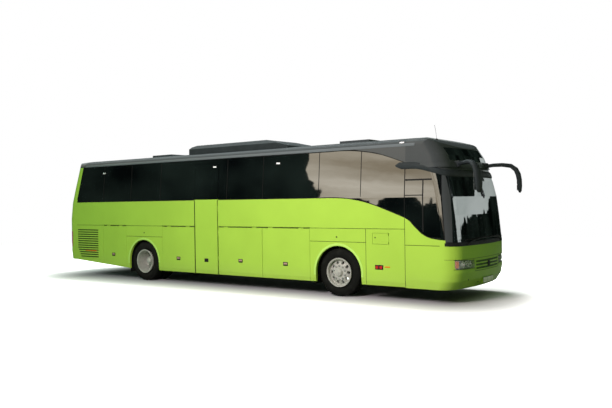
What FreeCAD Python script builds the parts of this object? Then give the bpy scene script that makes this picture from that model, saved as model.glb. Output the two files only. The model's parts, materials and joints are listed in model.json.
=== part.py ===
import FreeCAD, Part
import os
import re
import Sketcher
from FreeCAD import Rotation, Vector

os.makedirs("parts", exist_ok=True)
doc = FreeCAD.newDocument("coach")

# Every driving size, in millimetres, or degrees where the name says so.
# Distances named "..._at" are measured forwards from the rear axle.
SIZES = {
    # overall
    "wheelbase": 6080,
    "front_overhang": 2765,
    "rear_overhang": 3295,
    "mirror_reach": 345,
    "half_width": 1275,
    "wall": 60,
    "shut_gap": 11,
    "pane": 10,
    # heights of the body lines
    "skirt_z": 293,
    "skirt_tuck": 14,
    "skirt_tuck_z": 380,
    "tail_skirt_z": 455,
    "skirt_rise_at": -450,
    "tail_low_at": -2850,
    "belt_z": 1430,
    "mask_top_z": 1110,
    "lean_z": 2050,
    "waist_z": 2080,
    "cant_z": 3060,
    "cant_half": 1190,
    "roof_shoulder_half": 1010,
    "roof_shoulder_z": 3200,
    "roof_crown_z": 3290,
    "roof_edge_y": 1140,
    "roof_edge_z": 3150,
    "roof_thick": 55,
    # length stations
    "tail_joint_at": -2990,
    "tail_joint_mid_at": -2860,
    "tail_joint_top_at": -2500,
    "front_joint_at": 8568,
    "pillar_at": 7652,
    "roof_front_at": 7652,
    # front sweep, heights and how far the face lies behind the nose
    "nose_low_z": 280,
    "nose_low_set": 131,
    "nose_full_z": 600,
    "nose_screen_z": 1700,
    "nose_screen_set": 60,
    "nose_brow_z": 2360,
    "nose_brow_set": 175,
    "nose_cap_z": 2860,
    "nose_cap_set": 340,
    "nose_top_z": 3330,
    "nose_top_set": 640,
    "nose_bulge": 98,
    "nose_corner": 330,
    "nose_sweep": 79,
    "nose_lean_set": 105,
    "brow_mid_at": 7990,
    "brow_mid_z": 3215,
    "brow_low_at": 8500,
    "brow_low_z": 2960,
    # tail sweep
    "tail_back_at": -2300,
    "tail_low_set": 20,
    "tail_full_z": 700,
    "tail_waist_z": 1600,
    "tail_lean_set": 70,
    "tail_brow_z": 2430,
    "tail_brow_set": 160,
    "tail_top_z": 3330,
    "tail_top_set": 400,
    "tail_bulge": 70,
    "tail_corner": 190,
    "tail_sweep": 82,
    # windows
    "band_rear_at": -2830,
    "band_rear_top_at": -2560,
    "band_top_z": 3035,
    "sweep_start_at": 5840,
    "sweep_mid_at": 6640,
    "sweep_mid_z": 2005,
    "sweep_end_at": 7300,
    "sweep_end_z": 1800,
    "sweep_cut_z": 1660,
    "dip_start_at": 7750,
    "dip_start_z": 1609,
    "dip_mid_at": 8060,
    "dip_mid_z": 1335,
    "dip_end_at": 8480,
    "dip_end_z": 1238,
    "canopy_start_at": 5900,
    "canopy_mid_at": 6720,
    "canopy_mid_z": 2990,
    "canopy_end_at": 7347,
    "canopy_end_z": 2846,
    "canopy_cut_z": 2735,
    "canopy_lip_at": 7981,
    "canopy_lip_z": 2613,
    "cab_top_at": 8370,
    "cab_top_z": 2590,
    "cab_frame": 24,
    "screen_low_z": 1165,
    "screen_top_z": 2560,
    "screen_low_half": 1205,
    "screen_top_half": 1130,
    "upper_screen_low_z": 2760,
    "upper_screen_top_z": 3010,
    "upper_screen_half": 900,
    "rear_window_low_z": 2120,
    "rear_window_top_z": 2960,
    "rear_window_half": 900,
    "glass_lap": 40,
    "post_width": 70,
    # wheels and axles
    "tyre_radius": 505,
    "tyre_width": 290,
    "tyre_out_y": 1230,
    "tyre_bead_radius": 292,
    "twin_spacing": 335,
    "rim_radius": 305,
    "rim_well_radius": 262,
    "rim_thick": 14,
    "bead_gap": 3,
    "disc_thick": 14,
    "rim_lip": 12,
    "front_disc_in": 70,
    "front_bow_in": 10,
    "front_hub_in": 230,
    "rear_hub_in": 425,
    "rear_hub_out": 120,
    "hand_hole_radius": 32,
    "hand_hole_ring": 205,
    "hand_holes": 10,
    "hub_radius": 128,
    "hub_cap_radius": 78,
    "hub_cap_out": 22,
    "spindle_radius": 40,
    "running_gap": 0.05,
    "arch_radius": 570,
    "arch_z": 495,
    "liner_radius": 660,
    "liner_inner_y": 560,
    "liner_low_z": 640,
    "liner_thick": 12,
    "kingpin_y": 860,
    "kingpin_radius": 24,
    "boss_radius": 52,
    "boss_half": 75,
    "ear_thick": 45,
    "turn_gap": 6,
    "steer_arm": 220,
    "arm_width": 60,
    "tie_pin_radius": 14,
    "tie_eye_radius": 36,
    "tie_eye_thick": 30,
    "tie_eye_play": 5.2,
    "beam_depth": 110,
    "beam_height": 120,
    "spring_radius": 110,
    "spring_seat": 80,
    "spring_seat_drop": 100,
    "rear_liner_radius": 605,
    "rear_tube_radius": 78,
    "diff_radius": 215,
    "diff_width": 380,
    # floors and frames
    "saloon_floor_z": 1395,
    "floor_thick": 40,
    "saloon_front_at": 7250,
    "cab_floor_z": 900,
    "entry_z": 395,
    "step_rise": 250,
    "hold_rear_at": 700,
    "hold_front_at": 5370,
    "hold_floor_z": 430,
    "hold_plate": 25,
    "rail_y": 430,
    "rail_width": 70,
    "rail_low_z": 760,
    "rail_height": 100,
    "rear_frame_back_at": -2700,
    "front_frame_front_at": 8420,
    "front_cross_at": 6800,
    "well_in_y": 420,
    "entry_in_y": 520,
    # flaps and doors
    "service_rear_at": -1672,
    "service_front_at": -690,
    "hold_flap_rear_at": 724,
    "mid_door_rear_at": 1874,
    "mid_door_front_at": 2673,
    "hold_flap_mid_at": 4030,
    "hold_flap_front_at": 5362,
    "left_flap_2_at": 2270,
    "left_flap_3_at": 3816,
    "flap_gap": 16,
    "hinge_drop": 8,
    "hinge_in": 5,
    "hinge_pin_radius": 2.5,
    "hinge_pin_play": 0.1,
    "hinge_length": 60,
    "hinge_side_gap": 5,
    "hinge_end": 180,
    "mid_door_top_z": 2950,
    "panel_joint": 2,
    "door_gap": 12,
    "front_door_rear_at": 7670,
    "front_door_front_at": 8545,
    "front_door_low_z": 340,
    "front_door_top_z": 2570,
    "door_post_y": 1040,
    "door_post_radius": 22,
    "door_arm_radius": 16,
    "door_pin_radius": 12,
    "front_post_at": 8340,
    "front_post_top_z": 2300,
    "door_frame": 90,
    "front_low_arm_z": 760,
    "front_high_arm_z": 1980,
    "door_glass_low_z": 1120,
    "front_arm": 560,
    "fuel_rear_at": 6920,
    "fuel_front_at": 7300,
    "fuel_low_z": 1122,
    "fuel_top_z": 1346,
    "fuel_flap_thick": 20,
    "engine_lid_half": 880,
    "engine_lid_low_z": 720,
    "engine_lid_top_z": 1560,
    # roof
    "ac_rear_at": 1200,
    "ac_front_at": 3630,
    "ac_slope_at": 4400,
    "ac_half": 760,
    "ac_top_z": 3480,
    "ac_edge_z": 3380,
    "ac_seat_z": 3235,
    "ac_groove_pitch": 110,
    "ac_groove_width": 40,
    "ac_groove_depth": 12,
    "ac_fan_radius": 270,
    "ac_fan_pitch": 640,
    "hatch_rear_at": -600,
    "hatch_front_at": 5600,
    "hatch_length": 720,
    "hatch_half": 360,
    "hatch_height": 40,
    "hatch_lap": 20,
    "seat_gap": 0.3,
    # cab, seats and engine
    "engine_rear_at": -2600,
    "engine_front_at": -1250,
    "engine_side_gap": 0.3,
    "engine_low_z": 520,
    "engine_top_z": 1250,
    "mudflap_low_z": 230,
    "seat_pitch": 770,
    "seat_first_at": -2150,
    "seat_rows": 12,
    "seat_in_y": 250,
    "seat_out_y": 1130,
    "seat_depth": 480,
    "seat_cushion_z": 440,
    "seat_cushion_thick": 130,
    "seat_back_thick": 110,
    "seat_back_z": 1160,
    "seat_lean": 150,
    "rack_low_z": 2780,
    "rack_top_z": 2900,
    "rack_in_y": 620,
    "dash_rear_at": 8270,
    "dash_z": 1330,
    "wheel_rim_radius": 225,
    "wheel_column": 330,
    "driver_y": -640,
    "driver_seat_at": 7470,
    # mirrors and lamps
    "mirror_root_y": 707,
    "mirror_root_back": 385,
    "mirror_root_z": 2691,
    "mirror_tip_y": 1112,
    "mirror_tip_z": 2110,
    "mirror_head_top_z": 2622,
    "mirror_arm_radius": 38,
    "mirror_depth": 110,
    "mirror_width": 200,
    "headlamp_in_y": 620,
    "headlamp_out_y": 1185,
    "headlamp_low_z": 675,
    "headlamp_top_z": 850,
    "headlamp_rise": 35,
    "headlamp_drop": 30,
    "grille_half": 560,
    "grille_low_z": 640,
    "grille_pitch": 65,
    "grille_slot": 36,
    "plate_half": 265,
    "plate_low_z": 340,
    "plate_height": 118,
    "plate_set": 14,
    "ledge_out": 22,
    "ledge_low_z": 2620,
    "ledge_top_z": 2710,
    "lid_slot_half": 620,
    "lid_slot_low_z": 800,
    "lid_slot_pitch": 48,
    "lid_slot": 26,
    "rear_plate_low_z": 1330,
    "air_grille_rear_at": -2832,
    "air_grille_front_at": -1853,
    "air_grille_low_z": 505,
    "air_grille_slant": 34,
    "air_grille_pitch": 62,
    "air_grille_slot": 30,
    "air_grille_thick": 5,
    "tail_lamp_low_z": 810,
    "tail_lamp_top_z": 1250,
    "tail_lamp_in_y": 960,
}

# Places that follow from the sizes.
PLACES = {
    "front_axle_x": "wheelbase / 2 + (rear_overhang - front_overhang - mirror_reach) / 2",
    "rear_axle_x": "(rear_overhang - front_overhang - mirror_reach) / 2 - wheelbase / 2",
    "nose_x": "(rear_overhang + front_overhang - mirror_reach + wheelbase) / 2",
    "tail_x": "0 - (rear_overhang + front_overhang + mirror_reach + wheelbase) / 2",
    "twin_mid": "(twin_spacing + tyre_width) / 2",
    "skin_lean": "(half_width - cant_half) / (cant_z - lean_z)",
}

RIGHT, LEFT = "-1", "1"
PLANES = {
    "xy": Rotation(),
    "xz": Rotation(Vector(1, 0, 0), 90),
    "yz": Rotation(Vector(0, 1, 0), Vector(0, 0, 1), Vector(1, 0, 0), "ZXY"),
}
LIFT = {"xy": "z", "xz": "y", "yz": "x"}
ROD_TURN = {
    "x": Rotation(Vector(0, 1, 0), 90),
    "y": Rotation(Vector(1, 0, 0), -90),
    "z": Rotation(),
}
NODES = []

dims = doc.addObject("Spreadsheet::Sheet", "Dims")
for row, (size_name, size_value) in enumerate(SIZES.items(), start=1):
    dims.set(f"A{row}", size_name)
    dims.set(f"B{row}", str(size_value))
    dims.setAlias(f"B{row}", size_name)
doc.recompute()


def ref(text):
    """Point the size and place names of an expression at the objects that hold them."""

    def full(match):
        word = match.group()
        if word in SIZES:
            return "Dims." + word
        return "At." + word if word in PLACES else word

    return re.sub(r"[A-Za-z_]\w*", full, str(text))


places = doc.addObject("App::VarSet", "At")
for place_name, place_rule in PLACES.items():
    places.addProperty("App::PropertyFloat", place_name)
    places.setExpression(place_name, ref(place_rule))
doc.recompute()


def bind(thing, **rules):
    """Tie properties to expressions; a double underscore stands for a dot."""
    for prop, rule in rules.items():
        thing.setExpression(prop.replace("__", "."), ref(rule))
    return thing


def node(name, solid):
    """Name a finished sub-part and list it for export."""
    solid.Label = name
    NODES.append(solid)
    return solid


def along(distance):
    """Place along the coach, measured forwards from the rear axle."""
    return f"(rear_axle_x + {distance})"


def across(side, inner, outer):
    """Low and high Y of a stretch between two distances from the middle."""
    if side == RIGHT:
        return f"0 - ({outer})", f"0 - ({inner})"
    return inner, outer


def box(name, x, y, z):
    """Block between low and high places on each axis."""
    block = doc.addObject("Part::Box", name)
    for prop, axis, (low, high) in zip(("Length", "Width", "Height"), "xyz", (x, y, z)):
        block.setExpression(prop, ref(f"({high}) - ({low})"))
        block.setExpression(f"Placement.Base.{axis}", ref(low))
    return block


def rod(name, axis, centre, radius, low, high):
    """Round bar along an axis; centre holds the places on the other two axes."""
    bar = doc.addObject("Part::Cylinder", name)
    bar.Placement.Rotation = ROD_TURN[axis]
    base = dict(zip([a for a in "xyz" if a != axis], centre))
    base[axis] = low
    for letter, rule in base.items():
        bar.setExpression(f"Placement.Base.{letter}", ref(rule))
    return bind(bar, Radius=radius, Height=f"({high}) - ({low})")


def pin_point(sketch, geometry, vertex, rules):
    """Hold one vertex of a sketch at the places its rules give."""
    for kind, axis_line, rule in (("DistanceX", -2, rules[0]), ("DistanceY", -1, rules[1])):
        if rule == "0":
            sketch.addConstraint(Sketcher.Constraint("PointOnObject", geometry, vertex, axis_line))
            continue
        value = number(sketch, rule)
        held = Sketcher.Constraint(kind, -1, 1, geometry, vertex, value)
        sketch.setExpression(f"Constraints[{sketch.addConstraint(held)}]", ref(rule))


def number(thing, rule):
    """Value of an expression at the sizes as they stand."""
    return FreeCAD.Units.Quantity(thing.evalExpression(ref(rule))).Value


def outline(name, plane, points, lift):
    """Closed sketch through the points; one marked "arc" bends the edge that it lies on."""
    sketch = doc.addObject("Sketcher::SketchObject", name)
    sketch.Placement.Rotation = PLANES[plane]
    sketch.setExpression(f"Placement.Base.{LIFT[plane]}", ref(lift))
    corners = [p for p in points if len(p) == 2]
    bends = {}
    for index, point in enumerate(points):
        if len(point) == 3:
            bends[sum(1 for p in points[:index] if len(p) == 2) - 1] = point[:2]
    spots = [Vector(number(sketch, u), number(sketch, v), 0) for u, v in corners]
    ends = []
    for index, start in enumerate(spots):
        stop = spots[(index + 1) % len(spots)]
        if index not in bends:
            ends.append((sketch.addGeometry(Part.LineSegment(start, stop)), 1, 2))
            continue
        middle = Vector(*[number(sketch, rule) for rule in bends[index]], 0)
        if (middle - start).cross(stop - middle).z > 0:
            ends.append((sketch.addGeometry(Part.Arc(start, middle, stop)), 1, 2))
        else:
            ends.append((sketch.addGeometry(Part.Arc(stop, middle, start)), 2, 1))
    for index, (edge, first, last) in enumerate(ends):
        after, after_first, _ = ends[(index + 1) % len(ends)]
        sketch.addConstraint(Sketcher.Constraint("Coincident", edge, last, after, after_first))
        pin_point(sketch, edge, first, corners[index])
    for index, rules in bends.items():
        middle = Vector(*[number(sketch, rule) for rule in rules], 0)
        mark = sketch.addGeometry(Part.Point(middle), True)
        pin_point(sketch, mark, 1, rules)
        sketch.addConstraint(Sketcher.Constraint("PointOnObject", mark, 1, ends[index][0]))
    return sketch


def prism(name, plane, points, low, high):
    """Outline drawn out between two places along its normal axis."""
    start = high if plane == "xz" else low
    solid = doc.addObject("Part::Extrusion", name)
    solid.Base = outline(name + "_outline", plane, points, start)
    solid.DirMode = "Normal"
    solid.Solid = True
    return bind(solid, LengthFwd=f"({high}) - ({low})")


def turned(name, points, centre):
    """Outline in (Y, radius) turned about the Y axis and set at a centre (x, z)."""
    solid = doc.addObject("Part::Revolution", name)
    solid.Source = outline(name + "_outline", "yz", points, "0")
    solid.Axis = Vector(0, 1, 0)
    solid.Angle = 360
    solid.Solid = True
    return bind(solid, Placement__Base__x=centre[0], Placement__Base__z=centre[1])


def join(kind, name, shapes):
    """Boolean of several shapes."""
    result = doc.addObject(kind, name)
    result.Shapes = list(shapes)
    return result


def fuse(name, *shapes):
    """One solid out of several that touch or overlap."""
    return join("Part::MultiFuse", name, shapes)


def shared(name, first, second, *more):
    """What all the shapes have in common."""
    result = doc.addObject("Part::Common", name)
    result.Base = first
    result.Tool = second
    for index, shape in enumerate(more):
        result = shared(f"{name}_{index}", result, shape)
    return result


def cut(name, base, *tools):
    """The base less every tool."""
    result = doc.addObject("Part::Cut", name)
    result.Base = base
    result.Tool = tools[0] if len(tools) == 1 else fuse(name + "_tools", *tools)
    return result


def gather(name, *solids):
    """Like pieces that do not touch, kept in one sub-part."""
    group = doc.addObject("Part::Compound", name)
    group.Links = list(solids)
    return group


# Body envelope


def half_at(z, offset):
    """Half width of the leaning upper body at a height."""
    return f"half_width - skin_lean * ({z} - lean_z) - ({offset})"


def end_section(name, front, z, face, half, back, offset):
    """Plan section of an end of the body: bulged face and two round corners, or flats inside."""
    bend = () if offset == "wall" else ("arc",)
    sign = "+" if front else "-"
    radius, bulge = ("nose_corner", "nose_bulge") if front else ("tail_corner", "tail_bulge")
    turn = "nose_sweep" if front else "tail_sweep"
    tip = f"({face}) {'-' if front else '+'} ({offset})"
    inner = f"(({half}) - {radius} * (1 - cos({turn} * 1 deg)))"
    brow = f"({tip}) {'-' if front else '+'} {bulge}"
    start = f"({brow}) {'-' if front else '+'} {radius} * sin({turn} * 1 deg)"
    mid_x = f"({start}) {sign} {radius} * sin({turn} * 0.5 deg)"
    mid_y = f"(({half}) - {radius} * (1 - cos({turn} * 0.5 deg)))"
    points = [
        (back, f"0 - ({half})"),
        (start, f"0 - ({half})"),
        (mid_x, f"0 - {mid_y}", *bend),
        (brow, f"0 - {inner}"),
        (tip, "0", *bend),
        (brow, inner),
        (mid_x, mid_y, *bend),
        (start, half),
        (back, half),
    ]
    return outline(name, "xy", points, z)


def roof_points(offset, spread, foot):
    """Cross-section of the body under the roof skin."""
    return [
        (f"0 - ({spread})", foot),
        (f"0 - ({spread})", "cant_z"),
        (f"0 - (cant_half - {offset})", "cant_z"),
        (f"0 - (roof_edge_y - {offset})", f"roof_edge_z - 0.8 * {offset}", "arc"),
        (f"0 - (roof_shoulder_half - {offset})", f"roof_shoulder_z - {offset}"),
        ("0", f"roof_crown_z - {offset}", "arc"),
        (f"roof_shoulder_half - {offset}", f"roof_shoulder_z - {offset}"),
        (f"roof_edge_y - {offset}", f"roof_edge_z - 0.8 * {offset}", "arc"),
        (f"cant_half - {offset}", "cant_z"),
        (spread, "cant_z"),
        (spread, foot),
    ]


def end_body(name, front, bands, back, offset):
    """Solid end of the body, set in from the outer skin by an offset."""
    lofts = []
    for number_of_band, band in enumerate(bands):
        sections = []
        for index, (z, face, half) in enumerate(band):
            section_name = f"{name}_{number_of_band}_{index}"
            width = f"({half}) - ({offset})"
            sections.append(end_section(section_name, front, z, face, width, back, offset))
        loft = doc.addObject("Part::Loft", f"{name}_band_{number_of_band}")
        loft.Sections = sections
        loft.Solid = True
        loft.Ruled = True
        lofts.append(loft)
    rough = fuse(name + "_rough", *lofts)
    span = (back, "nose_x + 50") if front else ("tail_x - 50", back)
    arch = prism(name + "_roof", "yz", roof_points(offset, "half_width + 200", "100"), *span)
    if not front:
        return shared(name, rough, arch)
    brow = prism(name + "_brow", "xz", [
        (back, "100"),
        (back, f"roof_crown_z - {offset}"),
        (f"{along('brow_mid_at')} - 0.4 * {offset}", f"brow_mid_z - {offset}", "arc"),
        (f"{along('brow_low_at')} - {offset}", f"brow_low_z - 0.5 * {offset}"),
        ("nose_x + 60", f"brow_low_z - 0.5 * {offset}"),
        ("nose_x + 60", "100"),
    ], "0 - half_width - 100", "half_width + 100")
    return shared(name, rough, arch, brow)


FRONT_BANDS = [
    [
        ("nose_low_z", "nose_x - nose_low_set", "half_width - skirt_tuck"),
        ("(nose_low_z + nose_full_z) / 2", "nose_x - nose_low_set / 4", "half_width"),
        ("nose_full_z", "nose_x", "half_width"),
    ],
    [
        ("nose_full_z", "nose_x", "half_width"),
        ("mask_top_z", "nose_x", "half_width"),
    ],
    [
        ("mask_top_z", "nose_x", "half_width"),
        ("nose_screen_z", "nose_x - nose_screen_set", "half_width"),
        ("lean_z", "nose_x - nose_lean_set", "half_width"),
    ],
    [
        ("lean_z", "nose_x - nose_lean_set", half_at("lean_z", "0")),
        ("nose_brow_z", "nose_x - nose_brow_set", half_at("nose_brow_z", "0")),
        ("nose_cap_z", "nose_x - nose_cap_set", half_at("nose_cap_z", "0")),
        ("nose_top_z", "nose_x - nose_top_set", half_at("nose_top_z", "0")),
    ],
]
TAIL_BANDS = [
    [
        ("tail_skirt_z", "tail_x + tail_low_set", "half_width - skirt_tuck"),
        ("tail_full_z", "tail_x", "half_width"),
    ],
    [
        ("tail_full_z", "tail_x", "half_width"),
        ("tail_waist_z", "tail_x", "half_width"),
    ],
    [
        ("tail_waist_z", "tail_x", "half_width"),
        ("lean_z", "tail_x + tail_lean_set", "half_width"),
    ],
    [
        ("lean_z", "tail_x + tail_lean_set", half_at("lean_z", "0")),
        ("tail_brow_z", "tail_x + tail_brow_set", half_at("tail_brow_z", "0")),
        ("tail_top_z", "tail_x + tail_top_set", half_at("tail_top_z", "0")),
    ],
]


def body_ends():
    """Outer, pane-deep and wall-deep solids of the front and of the tail."""
    ends = {}
    for label, offset in (("skin", "0"), ("pane", "pane"), ("core", "wall")):
        ends["front", label] = end_body(f"front_{label}", True, FRONT_BANDS, along("roof_front_at"), offset)
        ends["tail", label] = end_body(f"tail_{label}", False, TAIL_BANDS, along("tail_back_at"), offset)
    return ends


def wall_layer(name, side, inset, depth, x):
    """Length of side wall between two depths under the skin."""

    def y(half, more):
        return f"{side} * ({half} - ({inset}){more})"

    points = [
        (y("half_width - skirt_tuck", ""), "skirt_z"),
        (y("half_width", ""), "skirt_tuck_z"),
        (y("half_width", ""), "lean_z"),
        (y("cant_half", ""), "cant_z"),
        (y("cant_half", f" - ({depth})"), "cant_z"),
        (y("half_width", f" - ({depth})"), "lean_z"),
        (y("half_width", f" - ({depth})"), "skirt_z"),
    ]
    return prism(name, "yz", points, *x)


def through(name, points, side=None):
    """Side-view outline drawn right across the coach, or across one side of it."""
    if side is None:
        return prism(name, "xz", points, "0 - half_width - 100", "half_width + 100")
    low, high = across(side, "half_width - 300", "half_width + 100")
    return prism(name, "xz", points, low, high)


def side_hole(name, side, rear, front, low, high):
    """Rectangular hole through one side wall."""
    span = across(side, "half_width - 400", "half_width + 100")
    return box(name, (along(rear), along(front)), span, (low, high))


def hinge(name, axis, centre, start, fixed_span, leaf_span):
    """Knuckle pair on one line: the fixed one with its pin, and the one of the leaf."""
    leaf_end = f"{start} + hinge_length"
    fixed_start = f"{leaf_end} + hinge_side_gap"
    fixed_end = f"{fixed_start} + hinge_length"

    def block(label, span, low, high):
        spans = list(span)
        spans.insert("xyz".index(axis), (low, high))
        return box(f"{name}_{label}", *spans)

    pin = rod(f"{name}_pin", axis, centre, "hinge_pin_radius", f"{start} + 6", fixed_end)
    hole_radius = "hinge_pin_radius + hinge_pin_play"
    hole = rod(f"{name}_hole", axis, centre, hole_radius, f"{start} - 5", f"{leaf_end} + 5")
    leaf = cut(f"{name}_leaf", block("leaf_block", leaf_span, start, leaf_end), hole)
    return [block("fixed_block", fixed_span, fixed_start, fixed_end), pin], leaf


def flap_hinges(name, side, rear, front):
    """Two hinges along the top edge of a side flap."""
    depth = across(side, "half_width - 2 * hinge_in", "half_width")
    centre = (f"{side} * (half_width - hinge_in)", "belt_z - hinge_drop")
    fixed_span = (depth, ("belt_z - hinge_drop - hinge_in", "belt_z + 5"))
    leaf_span = (depth, ("belt_z - flap_gap - 5", "belt_z - hinge_drop + hinge_in"))
    starts = (f"{along(rear)} + hinge_end", f"{along(front)} - hinge_end - 2 * hinge_length")
    return [
        hinge(f"{name}_hinge_{index}", "x", centre, start, fixed_span, leaf_span)
        for index, start in enumerate(starts)
    ]


def side_flap(name, side, rear, front, skirt_cut):
    """Top-hinged flap in the lower side wall, and the fixed halves of its hinges."""
    x = (f"{along(rear)} + shut_gap / 2", f"{along(front)} - shut_gap / 2")
    points = [
        (f"{side} * (half_width - skirt_tuck)", "skirt_z"),
        (f"{side} * half_width", "skirt_tuck_z"),
        (f"{side} * half_width", "belt_z - flap_gap"),
        (f"{side} * (half_width - wall)", "belt_z - flap_gap"),
        (f"{side} * (half_width - wall)", "skirt_z"),
    ]
    leaf = prism(f"{name}_leaf", "yz", points, *x)
    if skirt_cut is not None:
        leaf = cut(f"{name}_trimmed", leaf, skirt_cut)
    hinges = flap_hinges(name, side, rear, front)
    fixed = [piece for pieces, _ in hinges for piece in pieces]
    return node(name, fuse(name + "_fused", leaf, *[knuckle for _, knuckle in hinges])), fixed


def skirt_rise():
    """Wedge that lifts the lower edge of the body towards the tail."""
    return through("skirt_rise", [
        ("tail_x - 100", "skirt_z - 60"),
        (along("skirt_rise_at"), "skirt_z - 60"),
        (along("skirt_rise_at"), "skirt_z"),
        (along("tail_low_at"), "tail_skirt_z"),
        ("tail_x - 100", "tail_skirt_z"),
    ])


def tail_region():
    """Everything behind the joint between the side walls and the rear wall."""
    return through("tail_region", [
        ("tail_x - 100", "100"),
        (along("tail_joint_at"), "100"),
        (along("tail_joint_at"), "tail_waist_z"),
        (along("tail_joint_mid_at"), "waist_z"),
        (along("tail_joint_top_at"), "roof_crown_z + 60"),
        ("tail_x - 100", "roof_crown_z + 60"),
    ])


def window_points(inset):
    """Side view of the saloon glass from the tail to the front pillar."""
    low, high = f"waist_z + {inset}", f"band_top_z - {inset}"
    return [
        (f"{along('band_rear_at')} + {inset}", low),
        (along("sweep_start_at"), low),
        (along("sweep_mid_at"), f"sweep_mid_z + {inset}", "arc"),
        (along("sweep_end_at"), f"sweep_end_z + {inset}"),
        (f"{along('pillar_at')} - {inset}", f"sweep_cut_z + {inset}"),
        (f"{along('pillar_at')} - {inset}", f"canopy_cut_z - {inset}"),
        (along("canopy_end_at"), f"canopy_end_z - {inset}"),
        (along("canopy_mid_at"), f"canopy_mid_z - {inset}", "arc"),
        (along("canopy_start_at"), high),
        (f"{along('band_rear_top_at')} + {inset}", high),
    ]


def cab_window_points(inset):
    """Side view of the driver's window."""
    return [
        (f"{along('pillar_at')} + shut_gap + {inset}", f"dip_start_z + 45 + {inset}"),
        (along("dip_start_at"), f"dip_start_z + {inset}"),
        (along("dip_mid_at"), f"dip_mid_z + {inset}", "arc"),
        (f"{along('dip_end_at')} - {inset}", f"dip_end_z + {inset}"),
        (f"{along('cab_top_at')} - {inset}", f"cab_top_z - {inset}"),
        (along("canopy_lip_at"), f"canopy_lip_z - {inset}"),
        (f"{along('pillar_at')} + shut_gap + {inset}", f"canopy_cut_z - {inset}"),
    ]


def window_holes(name, side, posts, low, high):
    """Openings through the wall between window posts, inside the glass outline."""
    inner = through(f"{name}_reach", window_points("glass_lap"), side)
    bars = []
    for index, post in enumerate(posts):
        x = (f"{along(post)} - post_width / 2", f"{along(post)} + post_width / 2")
        span = across(side, "half_width - 350", "half_width + 150")
        bars.append(box(f"{name}_post_{index}", x, span, (low, high)))
    return cut(f"{name}_holes", inner, *bars)


def arch_hole(name, side, distance):
    """Round wheel opening with straight sides below the axle."""
    span = across(side, "half_width - 300", "half_width + 100")
    x = (f"{along(distance)} - arch_radius", f"{along(distance)} + arch_radius")
    disc = rod(f"{name}_disc", "y", (along(distance), "arch_z"), "arch_radius", *span)
    return fuse(name, disc, box(f"{name}_foot", x, span, ("skirt_z - 50", "arch_z")))


def air_grilles():
    """Slotted panels laid on both side walls over the intake of the engine bay."""
    panels = []
    rear, front = along("air_grille_rear_at"), along("air_grille_front_at")
    for index, side in enumerate((RIGHT, LEFT)):
        span = across(side, "half_width", "half_width + air_grille_thick")
        panel = prism(f"air_panel_{index}", "xz", [
            (f"{rear} + 4 * air_grille_slant", "air_grille_low_z"),
            (front, "air_grille_low_z"),
            (front, "air_grille_low_z + 13 * air_grille_pitch + air_grille_slot"),
            (rear, "air_grille_low_z + 13 * air_grille_pitch + air_grille_slot"),
            (rear, "air_grille_low_z + 4 * air_grille_pitch"),
        ], *span)
        slots = []
        for step in range(13):
            start = f"{rear} + {max(0, 4 - step)} * air_grille_slant + air_grille_slot"
            low = f"air_grille_low_z + {step} * air_grille_pitch + air_grille_slot"
            slots.append(box(f"air_slot_{index}_{step}", (start, f"{front} - air_grille_slot"), span,
                             (low, f"{low} + air_grille_slot")))
        panels.append(cut(f"air_grille_{index}", panel, *slots))
    node("air_grilles", gather("air_grille_pair", *panels))


def side_wall(side, regions, flap_span, extra_holes, fixed_hinges):
    """One side of the body between the tail and the front mask, with its glass."""
    word = "right" if side == RIGHT else "left"
    x = (along("tail_joint_at"), along("pillar_at"))
    cab_side = shared(f"wall_{word}_cab", regions["cab_wall"], box(f"wall_{word}_cab_zone",
                      (along("pillar_at"), "nose_x"), across(side, "half_width - 400", "half_width + 50"),
                      ("nose_low_z", "roof_crown_z")))
    blank = fuse(f"wall_{word}_blank", wall_layer(f"wall_{word}_slab", side, "0", "wall", x), cab_side)
    skin = wall_layer(f"wall_{word}_skin", side, "0", "pane", x)
    band = through(f"band_{word}", window_points("0"), side)
    glass = shared(f"glass_{word}", skin, band)
    holes = [
        regions["tail"],
        regions["skirt"],
        glass,
        window_holes(f"window_{word}", side, POSTS, "waist_z - 500", "cant_z"),
        arch_hole(f"rear_arch_{word}", side, "0"),
        arch_hole(f"front_arch_{word}", side, "wheelbase"),
        side_hole(f"service_hole_{word}", side, "service_rear_at", "service_front_at", "skirt_z - 50",
                  "belt_z"),
        side_hole(f"hold_hole_{word}", side, *flap_span, "skirt_z - 50", "belt_z"),
    ]
    wall = cut(f"wall_{word}_cut", blank, *holes, *extra_holes)
    return fuse(f"wall_{word}", wall, *fixed_hinges), glass


def shell(name, ends, end):
    """Hollow end of the body, as thick as its walls."""
    return cut(name, ends[end, "skin"], ends[end, "core"])


def cab_side_points():
    """Side view of the body beside the cab that belongs to the side walls."""
    return [
        (along("pillar_at"), "nose_low_z"),
        (along("front_joint_at"), "nose_low_z"),
        (along("front_joint_at"), "mask_top_z"),
        (f"{along('dip_end_at')} + cab_frame", "screen_low_z"),
        (f"{along('cab_top_at')} + cab_frame", "cab_top_z + cab_frame"),
        (along("canopy_lip_at"), "canopy_lip_z + cab_frame"),
        (along("pillar_at"), "canopy_cut_z + cab_frame"),
    ]


def headlamp_points(side, inset):
    """Front view of a headlamp, tapered towards the middle of the coach."""
    inner, outer = f"headlamp_in_y + {inset}", f"headlamp_out_y - {inset}"
    low, top = f"headlamp_low_z + {inset}", f"headlamp_top_z - {inset}"
    return [
        (f"{side} * ({inner})", f"{low} + headlamp_rise"),
        (f"{side} * ({inner} + headlamp_rise)", low),
        (f"{side} * ({outer} - headlamp_rise / 2)", low),
        (f"{side} * ({outer})", f"{low} + headlamp_rise"),
        (f"{side} * ({outer})", top),
        (f"{side} * ({inner} + headlamp_rise)", f"{top} - headlamp_drop"),
    ]


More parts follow.
